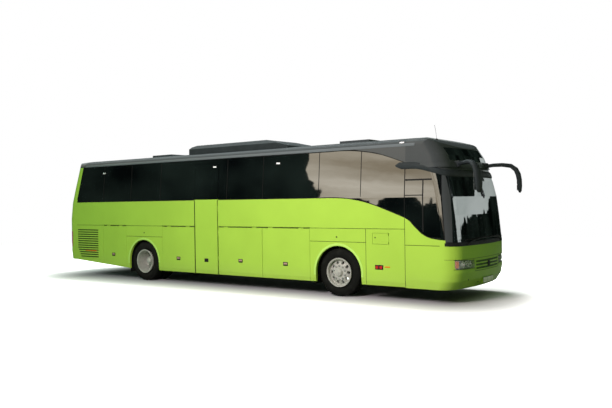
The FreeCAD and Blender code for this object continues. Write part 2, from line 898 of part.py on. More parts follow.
def face_slots(name, body, x, half, low, pitch, height, count):
    """Row of level slots, as deep as a pane, that follow a swept face of the body."""
    slots = [
        box(f"{name}_{index}", x, (f"0 - {half}", half),
            (f"{low} + {index} * {pitch}", f"{low} + {index} * {pitch} + {height}"))
        for index in range(count)
    ]
    return cut(f"{name}_slots", fuse(f"{name}_rows", *slots), body)


def brow_ledge(ends):
    """Ledge that wraps round the front above the windscreen and ends over the side windows."""
    section = []
    for index, (z, face, half) in enumerate(FRONT_BANDS[3][1:3]):
        section.append(end_section(f"brow_ledge_{index}", True, z, face, f"({half}) + ledge_out",
                                   along("canopy_lip_at"), "0 - ledge_out"))
    loft = doc.addObject("Part::Loft", "brow_ledge_loft")
    loft.Sections = section
    loft.Solid = True
    loft.Ruled = True
    zone = box("brow_ledge_zone", (along("canopy_lip_at"), "nose_x + 50"),
               ("0 - half_width - 50", "half_width + 50"), ("ledge_low_z", "ledge_top_z"))
    return cut("brow_ledge", shared("brow_ledge_slab", loft, zone), ends["front", "skin"])


def front_panels(ends, hollow, regions):
    """Lower mask, windscreen and the cap above it, cut from one hollow nose."""
    depth = ("0 - half_width - 100", "half_width + 100")
    ahead = (along("front_joint_at"), "nose_x + 100")
    lamp_x = (f"{along('front_joint_at')} + 40", "nose_x + 100")
    lamp_hole = [
        prism(f"lamp_hole_{index}", "yz", headlamp_points(side, "0"), *lamp_x)
        for index, side in enumerate((RIGHT, LEFT))
    ]
    mask_zone = box("mask_zone", ahead, depth, ("nose_low_z", "mask_top_z"))
    grille = face_slots("grille", ends["front", "pane"], ("nose_x - 300", "nose_x + 50"), "grille_half",
                        "grille_low_z", "grille_pitch", "grille_slot", 3)
    plate = box("front_plate", ("nose_x - 200", "nose_x - plate_set"), ("0 - plate_half", "plate_half"),
                ("plate_low_z", "plate_low_z + plate_height"))
    plate_seat = cut("front_plate_seat", plate, ends["front", "pane"])
    mask = fuse("mask_fused", cut("mask_cut", shared("mask_block", hollow, mask_zone), grille, *lamp_hole),
                plate_seat)
    lamps = [
        shared(f"headlamp_{index}", hollow,
               prism(f"lamp_zone_{index}", "yz", headlamp_points(side, "3"), *lamp_x))
        for index, side in enumerate((RIGHT, LEFT))
    ]
    glass_layer = cut("nose_glass_layer", ends["front", "skin"], ends["front", "pane"])
    outlines = []
    for inset in ("0", "glass_lap"):
        low = [
            (f"0 - screen_low_half + {inset}", f"screen_low_z + {inset}"),
            (f"screen_low_half - {inset}", f"screen_low_z + {inset}"),
            (f"screen_top_half - {inset}", f"screen_top_z - {inset}"),
            (f"0 - screen_top_half + {inset}", f"screen_top_z - {inset}"),
        ]
        high = [
            (f"0 - upper_screen_half + {inset}", f"upper_screen_low_z + {inset}"),
            (f"upper_screen_half - {inset}", f"upper_screen_low_z + {inset}"),
            (f"upper_screen_half - {inset}", f"upper_screen_top_z - {inset}"),
            (f"0 - upper_screen_half + {inset}", f"upper_screen_top_z - {inset}"),
        ]
        x = (f"{along('front_joint_at')} - 300", "nose_x + 100")
        label = inset.replace("glass_lap", "lap")
        outlines.append((prism(f"screen_{label}", "yz", low, *x), prism(f"upper_{label}", "yz", high, *x)))
    screen = shared("screen_pane", glass_layer, outlines[0][0])
    upper = shared("upper_pane", glass_layer, outlines[0][1])
    below = box("below_cap", (along("roof_front_at"), "nose_x + 100"), depth, ("nose_low_z - 10", "mask_top_z"))
    cap = cut("cap_cut", hollow, below, regions["cab"], screen, upper, *outlines[1])
    node("front_mask", mask)
    node("front_cap", fuse("front_cap_fused", cap, post_bearing(ends), ends["front", "ledge"]))
    node("windscreen", gather("windscreens", screen, upper))
    node("headlamps", gather("headlamp_pair", *lamps))


def rear_panels(ends, regions):
    """Rear wall, its window, tail lamps and the lid over the engine."""
    hollow = shared("tail_block", shell("tail_shell", ends, "tail"), regions["tail"])
    x = ("tail_x - 100", along("tail_joint_at"))
    gap = "shut_gap / 2"
    lid_span = ("0 - engine_lid_half", "engine_lid_half")
    lid_hole = box("lid_hole", x, lid_span, ("engine_lid_low_z", "engine_lid_top_z"))
    lid_zone = box("lid_zone", x, (f"0 - engine_lid_half + {gap}", f"engine_lid_half - {gap}"),
                   (f"engine_lid_low_z + {gap}", "engine_lid_top_z - flap_gap"))
    pane_layer = cut("tail_glass_layer", ends["tail", "skin"], ends["tail", "pane"])

    def pane_outline(name, inset):
        return box(name, ("tail_x - 100", along("tail_back_at")),
                   (f"0 - rear_window_half + {inset}", f"rear_window_half - {inset}"),
                   (f"rear_window_low_z + {inset}", f"rear_window_top_z - {inset}"))

    pane = shared("rear_pane", pane_layer, pane_outline("rear_pane_zone", "0"))
    lamp_layer = cut("lamp_layer", ends["tail", "skin"], ends["tail", "pane"])
    lamps = [
        shared(f"tail_lamp_{index}", lamp_layer, box(f"tail_lamp_zone_{index}",
               ("tail_x - 100", f"{along('tail_joint_at')} - 60"),
               across(side, "tail_lamp_in_y", "half_width + 50"), ("tail_lamp_low_z", "tail_lamp_top_z")))
        for index, side in enumerate((RIGHT, LEFT))
    ]
    hinge_z = "engine_lid_top_z - hinge_drop"
    depth = ("tail_x", "tail_x + 2 * hinge_in")
    fixed_span = (depth, ("engine_lid_top_z - hinge_drop - hinge_in", "engine_lid_top_z + 5"))
    leaf_span = (depth, ("engine_lid_top_z - flap_gap - 5", "engine_lid_top_z - hinge_drop + hinge_in"))
    hinges = [
        hinge(f"lid_hinge_{index}", "y", ("tail_x + hinge_in", hinge_z), start, fixed_span, leaf_span)
        for index, start in enumerate(("0 - 140", "15"))
    ]
    fixed = [piece for pieces, _ in hinges for piece in pieces]
    wall = cut("rear_wall_cut", hollow, lid_hole, pane, pane_outline("rear_hole", "glass_lap"), *lamps)
    node("rear_wall", fuse("rear_wall_fused", wall, *fixed))
    node("rear_window", pane)
    node("tail_lamps", gather("tail_lamp_pair", *lamps))
    vents = face_slots("lid_vent", ends["tail", "pane"], x, "lid_slot_half", "lid_slot_low_z",
                       "lid_slot_pitch", "lid_slot", 9)
    plate = box("rear_plate", x, ("0 - plate_half", "plate_half"),
                ("rear_plate_low_z", "rear_plate_low_z + plate_height"))
    plate_seat = cut("rear_plate_seat", plate, ends["tail", "pane"])
    lid = cut("lid_slotted", shared("lid_block", hollow, lid_zone), vents, plate_seat)
    node("engine_lid", fuse("lid_fused", lid, *[knuckle for _, knuckle in hinges]))


def roof_panel(regions):
    """Curved roof between the tail joint and the front cap, with two hatch openings."""
    x = (along("tail_joint_at"), along("roof_front_at"))

    def skin(name, offset):
        points = roof_points(offset, f"cant_half - {offset}", "cant_z - 300")
        return prism(name, "yz", points[:1] + points[2:9] + points[10:], *x)

    arch = cut("roof_arch", skin("roof_outer", "0"), skin("roof_inner", "roof_thick"))
    above = box("roof_zone", x, ("0 - half_width", "half_width"), ("cant_z", "roof_crown_z + 50"))
    holes = [
        box(f"hatch_hole_{index}", (along(at), f"{along(at)} + hatch_length"),
            ("0 - hatch_half", "hatch_half"), ("roof_shoulder_z - 200", "roof_crown_z + 50"))
        for index, at in enumerate(("hatch_rear_at", "hatch_front_at"))
    ]
    node("roof", cut("roof_cut", shared("roof_strip", arch, above), regions["tail"], *holes))


def roof_hatch(name, at):
    """Lift-up roof hatch: a shallow lid that lies on the crowned roof over its opening."""
    x = (f"{along(at)} - hatch_lap", f"{along(at)} + hatch_length + hatch_lap")
    lid = box(f"{name}_lid", x, ("0 - hatch_half - hatch_lap", "hatch_half + hatch_lap"),
              ("roof_shoulder_z", "roof_crown_z + hatch_height"))
    under = prism(f"{name}_under", "yz", roof_points("(0 - seat_gap)", "half_width", "roof_shoulder_z - 300"),
                  f"{x[0]} - 50", f"{x[1]} + 50")
    return node(name, cut(f"{name}_cut", lid, under))


def air_conditioner():
    """Roof unit: long ribbed cover with a sloping nose."""
    sides = [
        (along("ac_rear_at"), "roof_shoulder_z"),
        (along("ac_rear_at"), "ac_top_z - 40"),
        (f"{along('ac_rear_at')} + 120", "ac_top_z"),
        (along("ac_front_at"), "ac_top_z"),
        (along("ac_slope_at"), "roof_crown_z + 10"),
        (along("ac_slope_at"), "roof_shoulder_z"),
    ]
    long = prism("ac_long", "xz", sides, "0 - ac_half", "ac_half")
    front = prism("ac_section", "yz", [
        ("0 - ac_half", "roof_shoulder_z - 10"),
        ("0 - ac_half", "ac_edge_z"),
        ("0 - ac_half + 180", "ac_top_z"),
        ("ac_half - 180", "ac_top_z"),
        ("ac_half", "ac_edge_z"),
        ("ac_half", "roof_shoulder_z - 10"),
    ], f"{along('ac_rear_at')} - 20", f"{along('ac_slope_at')} + 20")
    under = prism("ac_under", "yz", [
        ("0 - ac_half - 50", "100"),
        ("0 - ac_half - 50", "ac_seat_z"),
        ("0", "roof_crown_z", "arc"),
        ("ac_half + 50", "ac_seat_z"),
        ("ac_half + 50", "100"),
    ], f"{along('ac_rear_at')} - 30", f"{along('ac_slope_at')} + 30")
    starts = [f"{along('ac_rear_at')} + 200 + {index} * ac_groove_pitch" for index in range(8)]
    grooves = [
        box(f"ac_groove_{index}", (start, f"{start} + ac_groove_width"), ("0 - ac_half - 10", "ac_half + 10"),
            ("ac_top_z - ac_groove_depth", "ac_top_z + 10"))
        for index, start in enumerate(starts)
    ]
    fans = [
        rod(f"ac_fan_{index}", "z", (f"{along('ac_front_at')} - 320 - {index} * ac_fan_pitch", "0"),
            "ac_fan_radius", "ac_top_z - 2 * ac_groove_depth", "ac_top_z + 10")
        for index in range(2)
    ]
    node("air_conditioner", cut("ac_cut", shared("ac_block", long, front), under, *grooves, *fans))


# Wheels, axles and steering


def tyre_points(side, out_y):
    """Half section of a tyre: tread, sidewalls and the bore that sits on the rim."""
    return [
        (f"{side} * ({out_y})", "tyre_bead_radius"),
        (f"{side} * ({out_y})", "tyre_radius"),
        (f"{side} * ({out_y} - tyre_width)", "tyre_radius"),
        (f"{side} * ({out_y} - tyre_width)", "tyre_bead_radius"),
    ]


def rim_channel(at, width):
    """Outside of a wheel: a flange at each end of the seat that the tyre or tyres sit on."""
    return [
        (at("0 - bead_gap - rim_lip"), "rim_radius"),
        (at("0 - bead_gap"), "rim_radius"),
        (at("0 - bead_gap"), "tyre_bead_radius"),
        (at(f"{width} + bead_gap"), "tyre_bead_radius"),
        (at(f"{width} + bead_gap"), "rim_radius"),
        (at(f"{width} + bead_gap + rim_lip"), "rim_radius"),
        (at(f"{width} + bead_gap + rim_lip"), "tyre_bead_radius - rim_thick"),
    ]


def front_rim_points(side):
    """Half section of a single wheel: rim channel, bowed disc and hub with a closed cap."""

    def at(distance):
        return f"{side} * (tyre_out_y - ({distance}))"

    return rim_channel(at, "tyre_width") + [
        (at("front_disc_in + disc_thick"), "tyre_bead_radius - rim_thick"),
        (at("front_disc_in + disc_thick"), "hub_radius"),
        (at("front_hub_in"), "hub_radius"),
        (at("front_hub_in"), "spindle_radius + running_gap"),
        (at("front_bow_in + 12"), "spindle_radius + running_gap"),
        (at("front_bow_in + 12"), "0"),
        (at("front_bow_in - hub_cap_out"), "0"),
        (at("front_bow_in - hub_cap_out"), "hub_cap_radius"),
        (at("front_bow_in"), "hub_cap_radius"),
        (at("front_bow_in"), "hub_radius + 30"),
        (at("front_disc_in"), "rim_well_radius"),
        (at("front_disc_in"), "tyre_bead_radius - rim_thick"),
        (at("0 - bead_gap - rim_lip"), "tyre_bead_radius - rim_thick"),
    ]


def twin_rim_points(side):
    """Half section of two wheels bolted face to face on one hub, with a closed cap."""

    def at(distance):
        return f"{side} * (tyre_out_y - ({distance}))"

    return rim_channel(at, "2 * twin_mid") + [
        (at("twin_mid + disc_thick"), "tyre_bead_radius - rim_thick"),
        (at("twin_mid + disc_thick"), "hub_radius"),
        (at("rear_hub_in"), "hub_radius"),
        (at("rear_hub_in"), "spindle_radius + running_gap"),
        (at("rear_hub_out + 20"), "spindle_radius + running_gap"),
        (at("rear_hub_out + 20"), "0"),
        (at("rear_hub_out"), "0"),
        (at("rear_hub_out"), "hub_cap_radius"),
        (at("rear_hub_out + 90"), "hub_cap_radius"),
        (at("rear_hub_out + 90"), "hub_radius"),
        (at("twin_mid - disc_thick"), "hub_radius"),
        (at("twin_mid - disc_thick"), "tyre_bead_radius - rim_thick"),
        (at("0 - bead_gap - rim_lip"), "tyre_bead_radius - rim_thick"),
    ]


def hand_hole_rods(name, centre_x):
    """Ring of round holes through a wheel disc."""
    rods = []
    for index in range(SIZES["hand_holes"]):
        angle = f"{index} * 360 deg / hand_holes"
        centre = (f"{centre_x} + hand_hole_ring * cos({angle})", f"tyre_radius + hand_hole_ring * sin({angle})")
        rods.append(rod(f"{name}_{index}", "y", centre, "hand_hole_radius", "0 - half_width", "half_width"))
    return rods


def wheels(side):
    """Front single wheel and rear twin wheels of one side, tyres apart from rims."""
    word = "right" if side == RIGHT else "left"
    front = ("front_axle_x", "tyre_radius")
    rear = ("rear_axle_x", "tyre_radius")
    rim = turned(f"front_rim_{word}_disc", front_rim_points(side), front)
    holes = hand_hole_rods(f"front_hole_{word}", "front_axle_x")
    node(f"front_tyre_{word}", turned(f"front_tyre_{word}", tyre_points(side, "tyre_out_y"), front))
    node(f"front_rim_{word}", cut(f"front_rim_{word}", rim, *holes))
    twins = turned(f"rear_rims_{word}_disc", twin_rim_points(side), rear)
    holes = hand_hole_rods(f"rear_hole_{word}", "rear_axle_x")
    tyres = [
        turned(f"rear_tyre_{word}_{index}", tyre_points(side, out_y), rear)
        for index, out_y in enumerate(("tyre_out_y", "(tyre_out_y - twin_spacing)"))
    ]
    node(f"rear_tyres_{word}", gather(f"rear_tyres_{word}", *tyres))
    node(f"rear_rims_{word}", cut(f"rear_rims_{word}", twins, *holes))


def front_axle():
    """Beam with a boss and kingpin at each end, and the air springs on it."""
    x = ("front_axle_x - beam_depth / 2", "front_axle_x + beam_depth / 2")
    beam = box("front_beam", x, ("0 - kingpin_y", "kingpin_y"),
               ("tyre_radius - beam_height / 2", "tyre_radius + beam_height / 2"))
    pieces = [beam]
    for index, side in enumerate((RIGHT, LEFT)):
        centre = ("front_axle_x", f"{side} * kingpin_y")
        pieces.append(rod(f"kingpin_boss_{index}", "z", centre, "boss_radius",
                          "tyre_radius - boss_half", "tyre_radius + boss_half"))
        pieces.append(rod(f"kingpin_{index}", "z", centre, "kingpin_radius",
                          "tyre_radius - boss_half - turn_gap - ear_thick",
                          "tyre_radius + boss_half + turn_gap + ear_thick"))
        pieces.append(rod(f"front_spring_{index}", "z", ("front_axle_x", f"{side} * rail_y"), "spring_radius",
                          "tyre_radius + beam_height / 2 - 5", "rail_low_z"))
    node("front_axle", fuse("front_axle_fused", *pieces))


def rear_axle():
    """Axle tube with its final drive, spindles, and air springs on seats that a jack can lift."""
    pieces = [
        rod("rear_tube", "y", ("rear_axle_x", "tyre_radius"), "rear_tube_radius",
            "0 - (tyre_out_y - rear_hub_in - 15)", "tyre_out_y - rear_hub_in - 15"),
        rod("rear_spindles", "y", ("rear_axle_x", "tyre_radius"), "spindle_radius",
            "0 - (tyre_out_y - rear_hub_out - 25)", "tyre_out_y - rear_hub_out - 25"),
        rod("final_drive", "x", ("0", "tyre_radius"), "diff_radius - 60",
            "rear_axle_x - diff_width / 2", "rear_axle_x + diff_width / 2"),
    ]
    for index, side in enumerate((RIGHT, LEFT)):
        pieces.append(rod(f"rear_spring_{index}", "z", ("rear_axle_x", f"{side} * rail_y"), "spring_radius",
                          "tyre_radius + 40", "rail_low_z"))
        pieces.append(box(f"rear_seat_{index}", ("rear_axle_x - spring_seat", "rear_axle_x + spring_seat"),
                          (f"{side} * rail_y - spring_seat", f"{side} * rail_y + spring_seat"),
                          ("tyre_radius - spring_seat_drop", "tyre_radius + 50")))
    node("rear_axle", fuse("rear_axle_fused", *pieces))


def knuckle(side):
    """Steering knuckle: two ears on the kingpin, a web, the spindle and the steering arm."""
    word = "right" if side == RIGHT else "left"
    centre = ("front_axle_x", f"{side} * kingpin_y")
    low = ("tyre_radius - boss_half - turn_gap - ear_thick", "tyre_radius - boss_half - turn_gap")
    high = ("tyre_radius + boss_half + turn_gap", "tyre_radius + boss_half + turn_gap + ear_thick")
    x = ("front_axle_x - boss_radius", "front_axle_x + boss_radius")
    web_y = across(side, "kingpin_y + boss_radius + turn_gap", "kingpin_y + boss_radius + turn_gap + ear_thick")
    pieces = [box(f"web_{word}", x, web_y, (low[0], high[1]))]
    bridge = across(side, "kingpin_y", "kingpin_y + boss_radius + turn_gap + ear_thick")
    for label, span in (("low", low), ("high", high)):
        pieces.append(rod(f"ear_{label}_{word}", "z", centre, "boss_radius", *span))
        pieces.append(box(f"ear_block_{label}_{word}", x, bridge, span))
    spindle = across(side, "kingpin_y + boss_radius + turn_gap + 5", "tyre_out_y - front_bow_in - 16")
    pieces.append(rod(f"spindle_{word}", "y", ("front_axle_x", "tyre_radius"), "spindle_radius", *spindle))
    arm_y = (f"{side} * kingpin_y - arm_width / 2", f"{side} * kingpin_y + arm_width / 2")
    pieces.append(box(f"steer_arm_{word}", ("front_axle_x - steer_arm", "front_axle_x"), arm_y, low))
    tie = ("front_axle_x - steer_arm", f"{side} * kingpin_y")
    pieces.append(rod(f"steer_arm_end_{word}", "z", tie, "arm_width / 2", *low))
    pieces.append(rod(f"tie_pin_{word}", "z", tie, "tie_pin_radius", low[0],
                      f"{low[1]} + turn_gap + tie_eye_thick + turn_gap"))
    bore = rod(f"kingpin_bore_{word}", "z", centre, "kingpin_radius + running_gap", "100", "tyre_radius * 2")
    node(f"knuckle_{word}", cut(f"knuckle_{word}", fuse(f"knuckle_{word}_solid", *pieces), bore))


def track_rod():
    """Rod across the coach that ties the two steering arms together."""
    z = "tyre_radius - boss_half"
    x = "front_axle_x - steer_arm"
    pieces = [rod("track_rod_bar", "y", (x, f"{z} + tie_eye_thick / 2"), "tie_eye_thick / 2",
                  "0 - kingpin_y + tie_eye_radius / 2", "kingpin_y - tie_eye_radius / 2 - 8")]
    bores = []
    for word, side, play in (("right", RIGHT, "running_gap"), ("left", LEFT, "tie_eye_play")):
        centre = (x, f"{side} * kingpin_y")
        pieces.append(rod(f"tie_eye_{word}", "z", centre, "tie_eye_radius", z, f"{z} + tie_eye_thick"))
        bores.append(rod(f"tie_bore_{word}", "z", centre, f"tie_pin_radius + {play}", f"{z} - 5",
                         f"{z} + tie_eye_thick + 5"))
    node("track_rod", cut("track_rod_cut", fuse("track_rod_solid", *pieces), *bores))


def wheel_housings():
    """Curved liners over the wheels, closed inwards, each with the mudflap that hangs behind it."""
    arches = []
    for end, at, radius in (("front", "wheelbase", "liner_radius"), ("rear", "0", "rear_liner_radius")):
        x = (f"{along(at)} - {radius}", f"{along(at)} + {radius}")
        for index, side in enumerate((RIGHT, LEFT)):
            name = f"{end}_liner_{index}"
            span = across(side, "liner_inner_y", "half_width - wall")
            deep = across(side, "liner_inner_y + liner_thick", "half_width")
            centre = (along(at), "arch_z")
            outer = rod(name + "_outer", "y", centre, radius, *span)
            inner = rod(name + "_inner", "y", centre, f"{radius} - liner_thick", *deep)
            zone = box(name + "_zone", x, span, ("liner_low_z", "arch_z + liner_radius + 50"))
            flap = box(name + "_mudflap", (f"{x[0]} - 8", f"{x[0]} + 8"),
                       across(side, "liner_inner_y + 60", "half_width - wall"),
                       ("mudflap_low_z", "liner_low_z + 20"))
            arches.append(fuse(name, shared(name + "_arch", cut(name + "_cut", outer, inner), zone), flap))
    node("wheel_housings", gather("wheel_housings", *arches))


def frames():
    """Rails and cross-members of the front and rear running-gear frames."""
    z = ("rail_low_z", "rail_low_z + rail_height")
    groups = []
    for label, rear, front, crosses in (
        ("rear", "rear_frame_back_at", "hold_rear_at", ("rear_frame_back_at", "engine_front_at")),
        ("front", "hold_front_at", "front_frame_front_at",
         ("front_cross_at", "front_frame_front_at - rail_width")),
    ):
        pieces = []
        for index, side in enumerate((RIGHT, LEFT)):
            span = across(side, "rail_y - rail_width / 2", "rail_y + rail_width / 2")
            pieces.append(box(f"{label}_rail_{index}", (along(rear), along(front)), span, z))
        for index, cross in enumerate(crosses):
            half = "half_width - wall" if (label, index) in (("front", 0), ("rear", 1)) else "rail_y"
            x = (along(cross), f"{along(cross)} + rail_width")
            pieces.append(box(f"{label}_cross_{index}", x, (f"0 - ({half})", half), z))
        groups.append(fuse(f"{label}_frame", *pieces))
    node("chassis_frame", gather("chassis_frames", *groups))


def hold():
    """Luggage hold floor with a bulkhead at each end, the mid-door well left open."""
    y = ("0 - (half_width - wall)", "half_width - wall")
    top = "saloon_floor_z - floor_thick"
    floor = box("hold_floor", (along("hold_rear_at"), along("hold_front_at")), y,
                ("hold_floor_z - hold_plate", "hold_floor_z"))
    rear = box("hold_rear_wall", (along("hold_rear_at"), f"{along('hold_rear_at')} + hold_plate"), y,
               ("hold_floor_z - hold_plate", top))
    front = box("hold_front_wall", (f"{along('hold_front_at')} - hold_plate", along("hold_front_at")), y,
                ("hold_floor_z - hold_plate", top))
    well = well_zone("hold_well", "well_in_y - floor_thick")
    node("luggage_hold", cut("hold_cut", fuse("hold_solid", floor, rear, front), well))


def well_zone(name, inner_y):
    """Space of the stairwell behind the mid door, in to a distance from the middle."""
    x = (f"{along('mid_door_rear_at')} - shut_gap / 2", f"{along('mid_door_front_at')} + shut_gap / 2")
    return box(name, x, ("0 - half_width", f"0 - ({inner_y})"), ("100", "saloon_floor_z + 10"))


def stairs(name, side, rear, front, first_z, count, run, top_in):
    """Flight of solid steps that rises from a doorway towards the middle."""
    pieces = []
    for index in range(count):
        inner, outer = top_in, f"{top_in} + {run} * {count - index}"
        z = (f"{first_z} - floor_thick", f"{first_z} + step_rise * {index}")
        pieces.append(box(f"{name}_{index}", (rear, front), across(side, inner, outer), z))
    return pieces


def floors(ends):
    """Saloon floor, cab floor and the riser between them, fitted inside the walls."""
    y = ("0 - (half_width - wall)", "half_width - wall")
    z = ("saloon_floor_z - floor_thick", "saloon_floor_z")
    main = box("saloon_floor_main", (along("tail_joint_at"), along("saloon_front_at")), y, z)
    tail = shared("saloon_floor_tail", ends["tail", "core"],
                  box("saloon_floor_tail_zone", ("tail_x - 100", along("tail_joint_at")), y, z))
    plate = cut("saloon_floor_cut", fuse("saloon_floor_solid", main, tail),
                well_zone("floor_well", "well_in_y"))
    well = stairs("well_step", RIGHT, f"{along('mid_door_rear_at')} - shut_gap / 2",
                  f"{along('mid_door_front_at')} + shut_gap / 2", "entry_z", 4,
                  "(half_width - wall - well_in_y) / 4", "well_in_y")
    well.append(box("well_wall", (f"{along('mid_door_rear_at')} - shut_gap / 2",
                    f"{along('mid_door_front_at')} + shut_gap / 2"),
                    ("0 - well_in_y", "floor_thick - well_in_y"), ("entry_z - floor_thick", "saloon_floor_z")))
    node("saloon_floor", fuse("saloon_floor_fused", plate, *well))
    cab_z = ("cab_floor_z - floor_thick", "cab_floor_z")
    nose = shared("cab_floor_nose", ends["front", "core"],
                  box("cab_floor_zone", (along("pillar_at"), "nose_x"), y, cab_z))
    back = box("cab_floor_back", (along("saloon_front_at"), along("pillar_at")), y, cab_z)
    riser = box("cab_riser", (along("saloon_front_at"), f"{along('saloon_front_at')} + floor_thick"), y,
                ("cab_floor_z - floor_thick", "saloon_floor_z"))
    step = box("aisle_step", (along("saloon_front_at"), f"{along('saloon_front_at')} + 280"),
               ("0 - seat_in_y", "seat_in_y"), ("cab_floor_z", "(cab_floor_z + saloon_floor_z) / 2"))
    well = box("entry_well", (along("front_door_rear_at"), along("front_joint_at")),
               ("entry_in_y", "half_width"), ("100", "cab_floor_z + 10"))
    entry = stairs("entry_step", LEFT, along("front_door_rear_at"), along("front_joint_at"),
                   "entry_z", 2, "(half_width - wall - entry_in_y) / 2", "entry_in_y")
    entry.append(box("entry_wall", (along("front_door_rear_at"), along("front_joint_at")),
                     ("entry_in_y - floor_thick", "entry_in_y"), ("entry_z - floor_thick", "cab_floor_z")))
    plate = cut("cab_floor_cut", fuse("cab_floor_solid", nose, back, riser, step), well)
    flight = shared("entry_flight", fuse("entry_stairs", *entry), ends["front", "core"])
    node("cab_floor", fuse("cab_floor_fused", plate, flight))


def door_outline(gap):
    """Side view of the entrance door, whose front edge follows the slanted pillar."""
    return [
        (f"{along('front_door_rear_at')} + {gap}", "front_door_low_z"),
        (f"{along('front_door_front_at')} - {gap}", "front_door_low_z"),
        (f"{along('front_door_front_at')} - {gap}", "mask_top_z"),
        (f"{along('dip_end_at')} - {gap}", "screen_low_z"),
        (f"{along('cab_top_at')} - {gap}", f"front_door_top_z - {gap}"),
        (f"{along('front_door_rear_at')} + {gap}", f"front_door_top_z - {gap}"),
    ]


def front_door(ends, nose):
    """Plug door ahead of the left front wheel, carried by a turning post with two arms."""
    leaf = shared("front_door_leaf", nose, through("front_door_zone", door_outline("door_gap"), LEFT))
    rear, front = f"{along('front_door_rear_at')} + door_frame", along("dip_end_at")

    def pane_outline(inset):
        return [
            (f"{rear} + {inset}", f"door_glass_low_z + {inset}"),
            (f"{front} - door_frame - {inset}", f"door_glass_low_z + {inset}"),
            (f"{along('cab_top_at')} - door_frame - {inset}", f"front_door_top_z - door_frame - {inset}"),
            (f"{rear} + {inset}", f"front_door_top_z - door_frame - {inset}"),
        ]

    layer = cut("front_door_layer", ends["front", "skin"], ends["front", "pane"])
    pane = shared("front_door_pane", layer, through("front_door_pane_zone", pane_outline("0"), LEFT))
    hole = through("front_door_hole", pane_outline("glass_lap"), LEFT)
    leaf = cut("front_door_cut", leaf, pane, hole)
    pin_x = f"({along('front_post_at')} - front_arm)"
    brackets = []
    arms = [rod("front_post", "z", (along("front_post_at"), "door_post_y"), "door_post_radius",
                "entry_z + seat_gap", "front_post_top_z")]
    eye_bores = []
    for index, z in enumerate(("front_low_arm_z", "front_high_arm_z")):
        arms.append(rod(f"front_arm_{index}", "x", ("door_post_y", z), "door_arm_radius", pin_x,
                        along("front_post_at")))
        arms.append(rod(f"front_eye_{index}", "z", (pin_x, "door_post_y"), "2 * door_arm_radius",
                        f"{z} - 20", f"{z} + 20"))
        eye_bores.append(rod(f"front_eye_bore_{index}", "z", (pin_x, "door_post_y"),
                             "door_pin_radius + running_gap", f"{z} - 25", f"{z} + 25"))
        brackets.append(box(f"front_bracket_{index}", (f"{pin_x} - 30", f"{pin_x} + 30"),
                            ("door_post_y - 25", "half_width - wall + 5"), (f"{z} + 26", f"{z} + 46")))
        brackets.append(rod(f"front_pin_{index}", "z", (pin_x, "door_post_y"), "door_pin_radius",
                            f"{z} - 30", f"{z} + 46"))
    node("front_door", fuse("front_door_fused", leaf, *brackets))
    node("front_door_glass", pane)
    node("front_door_arm", cut("front_door_arm_cut", fuse("front_door_arm_solid", *arms), *eye_bores))


def post_bearing(ends):
    """Top bearing of the door post, held by the pillar beside the windscreen."""
    z = ("front_post_top_z - 40", "front_post_top_z")
    post = along("front_post_at")
    block = box("post_bearing_block", (f"{post} - 40", f"{post} + 140"),
                ("door_post_y - 40", "door_post_y + 60"), z)
    tie = box("post_bearing_tie", (f"{post} + 95", f"{post} + 140"), ("door_post_y - 40", "half_width"), z)
    bore = rod("post_bearing_bore", "z", (post, "door_post_y"), "door_post_radius + running_gap",
               "front_post_top_z - 60", "front_post_top_z + 20")
    return cut("post_bearing", shared("post_bearing_solid", fuse("post_bearing_raw", block, tie),
               ends["front", "skin"]), bore)


def mid_door():
    """Emergency door on the right, full height with its own glass, hinged at its front edge."""
    x = (f"{along('mid_door_rear_at')} + shut_gap / 2", f"{along('mid_door_front_at')} - flap_gap")
    layer = wall_layer("mid_door_layer", RIGHT, "0", "wall", x)
    leaf = shared("mid_door_leaf", layer, box("mid_door_zone", x, ("0 - half_width - 50", "0"),
                  ("skirt_z", "mid_door_top_z - shut_gap / 2")))
    skin = wall_layer("mid_door_skin", RIGHT, "0", "pane", x)
    pane = shared("mid_door_pane", skin, box("mid_door_pane_zone", x, ("0 - half_width - 50", "0"),
                  ("waist_z", "mid_door_top_z - shut_gap / 2")))
    hole = box("mid_door_hole", (f"{x[0]} + 70", f"{x[1]} - 70"),
               ("0 - half_width - 50", "0 - half_width + 300"),
               ("waist_z + glass_lap", "mid_door_top_z - 90"))
    centre = (f"{along('mid_door_front_at')} - hinge_drop", "0 - (half_width - hinge_in)")
    depth = ("0 - half_width", "0 - (half_width - 2 * hinge_in)")
    front = along("mid_door_front_at")
    fixed_span = ((f"{front} - hinge_drop - hinge_in", f"{front} + 5"), depth)
    leaf_span = ((f"{front} - flap_gap - 5", f"{front} - hinge_drop + hinge_in"), depth)
    fixed, knuckles = [], []
    for index, z in enumerate(("600", "1200", "1800")):
        pieces, knuckle_leaf = hinge(f"mid_hinge_{index}", "z", centre, z, fixed_span, leaf_span)
        fixed += pieces
        knuckles.append(knuckle_leaf)
    node("mid_door", fuse("mid_door_fused", cut("mid_door_cut", leaf, pane, hole), *knuckles))
    node("mid_door_glass", pane)
    return fixed


def header_joints():
    """Upright panel joints at both ends of the wall over the mid door."""
    rear, front = along("mid_door_rear_at"), along("mid_door_front_at")
    span = across(RIGHT, "half_width - 400", "half_width + 100")
    z = ("mid_door_top_z - 20", "cant_z + 10")
    return [
        box("header_joint_rear", (rear, f"{rear} + panel_joint"), span, z),
        box("header_joint_front", (f"{front} - panel_joint", front), span, z),
    ]


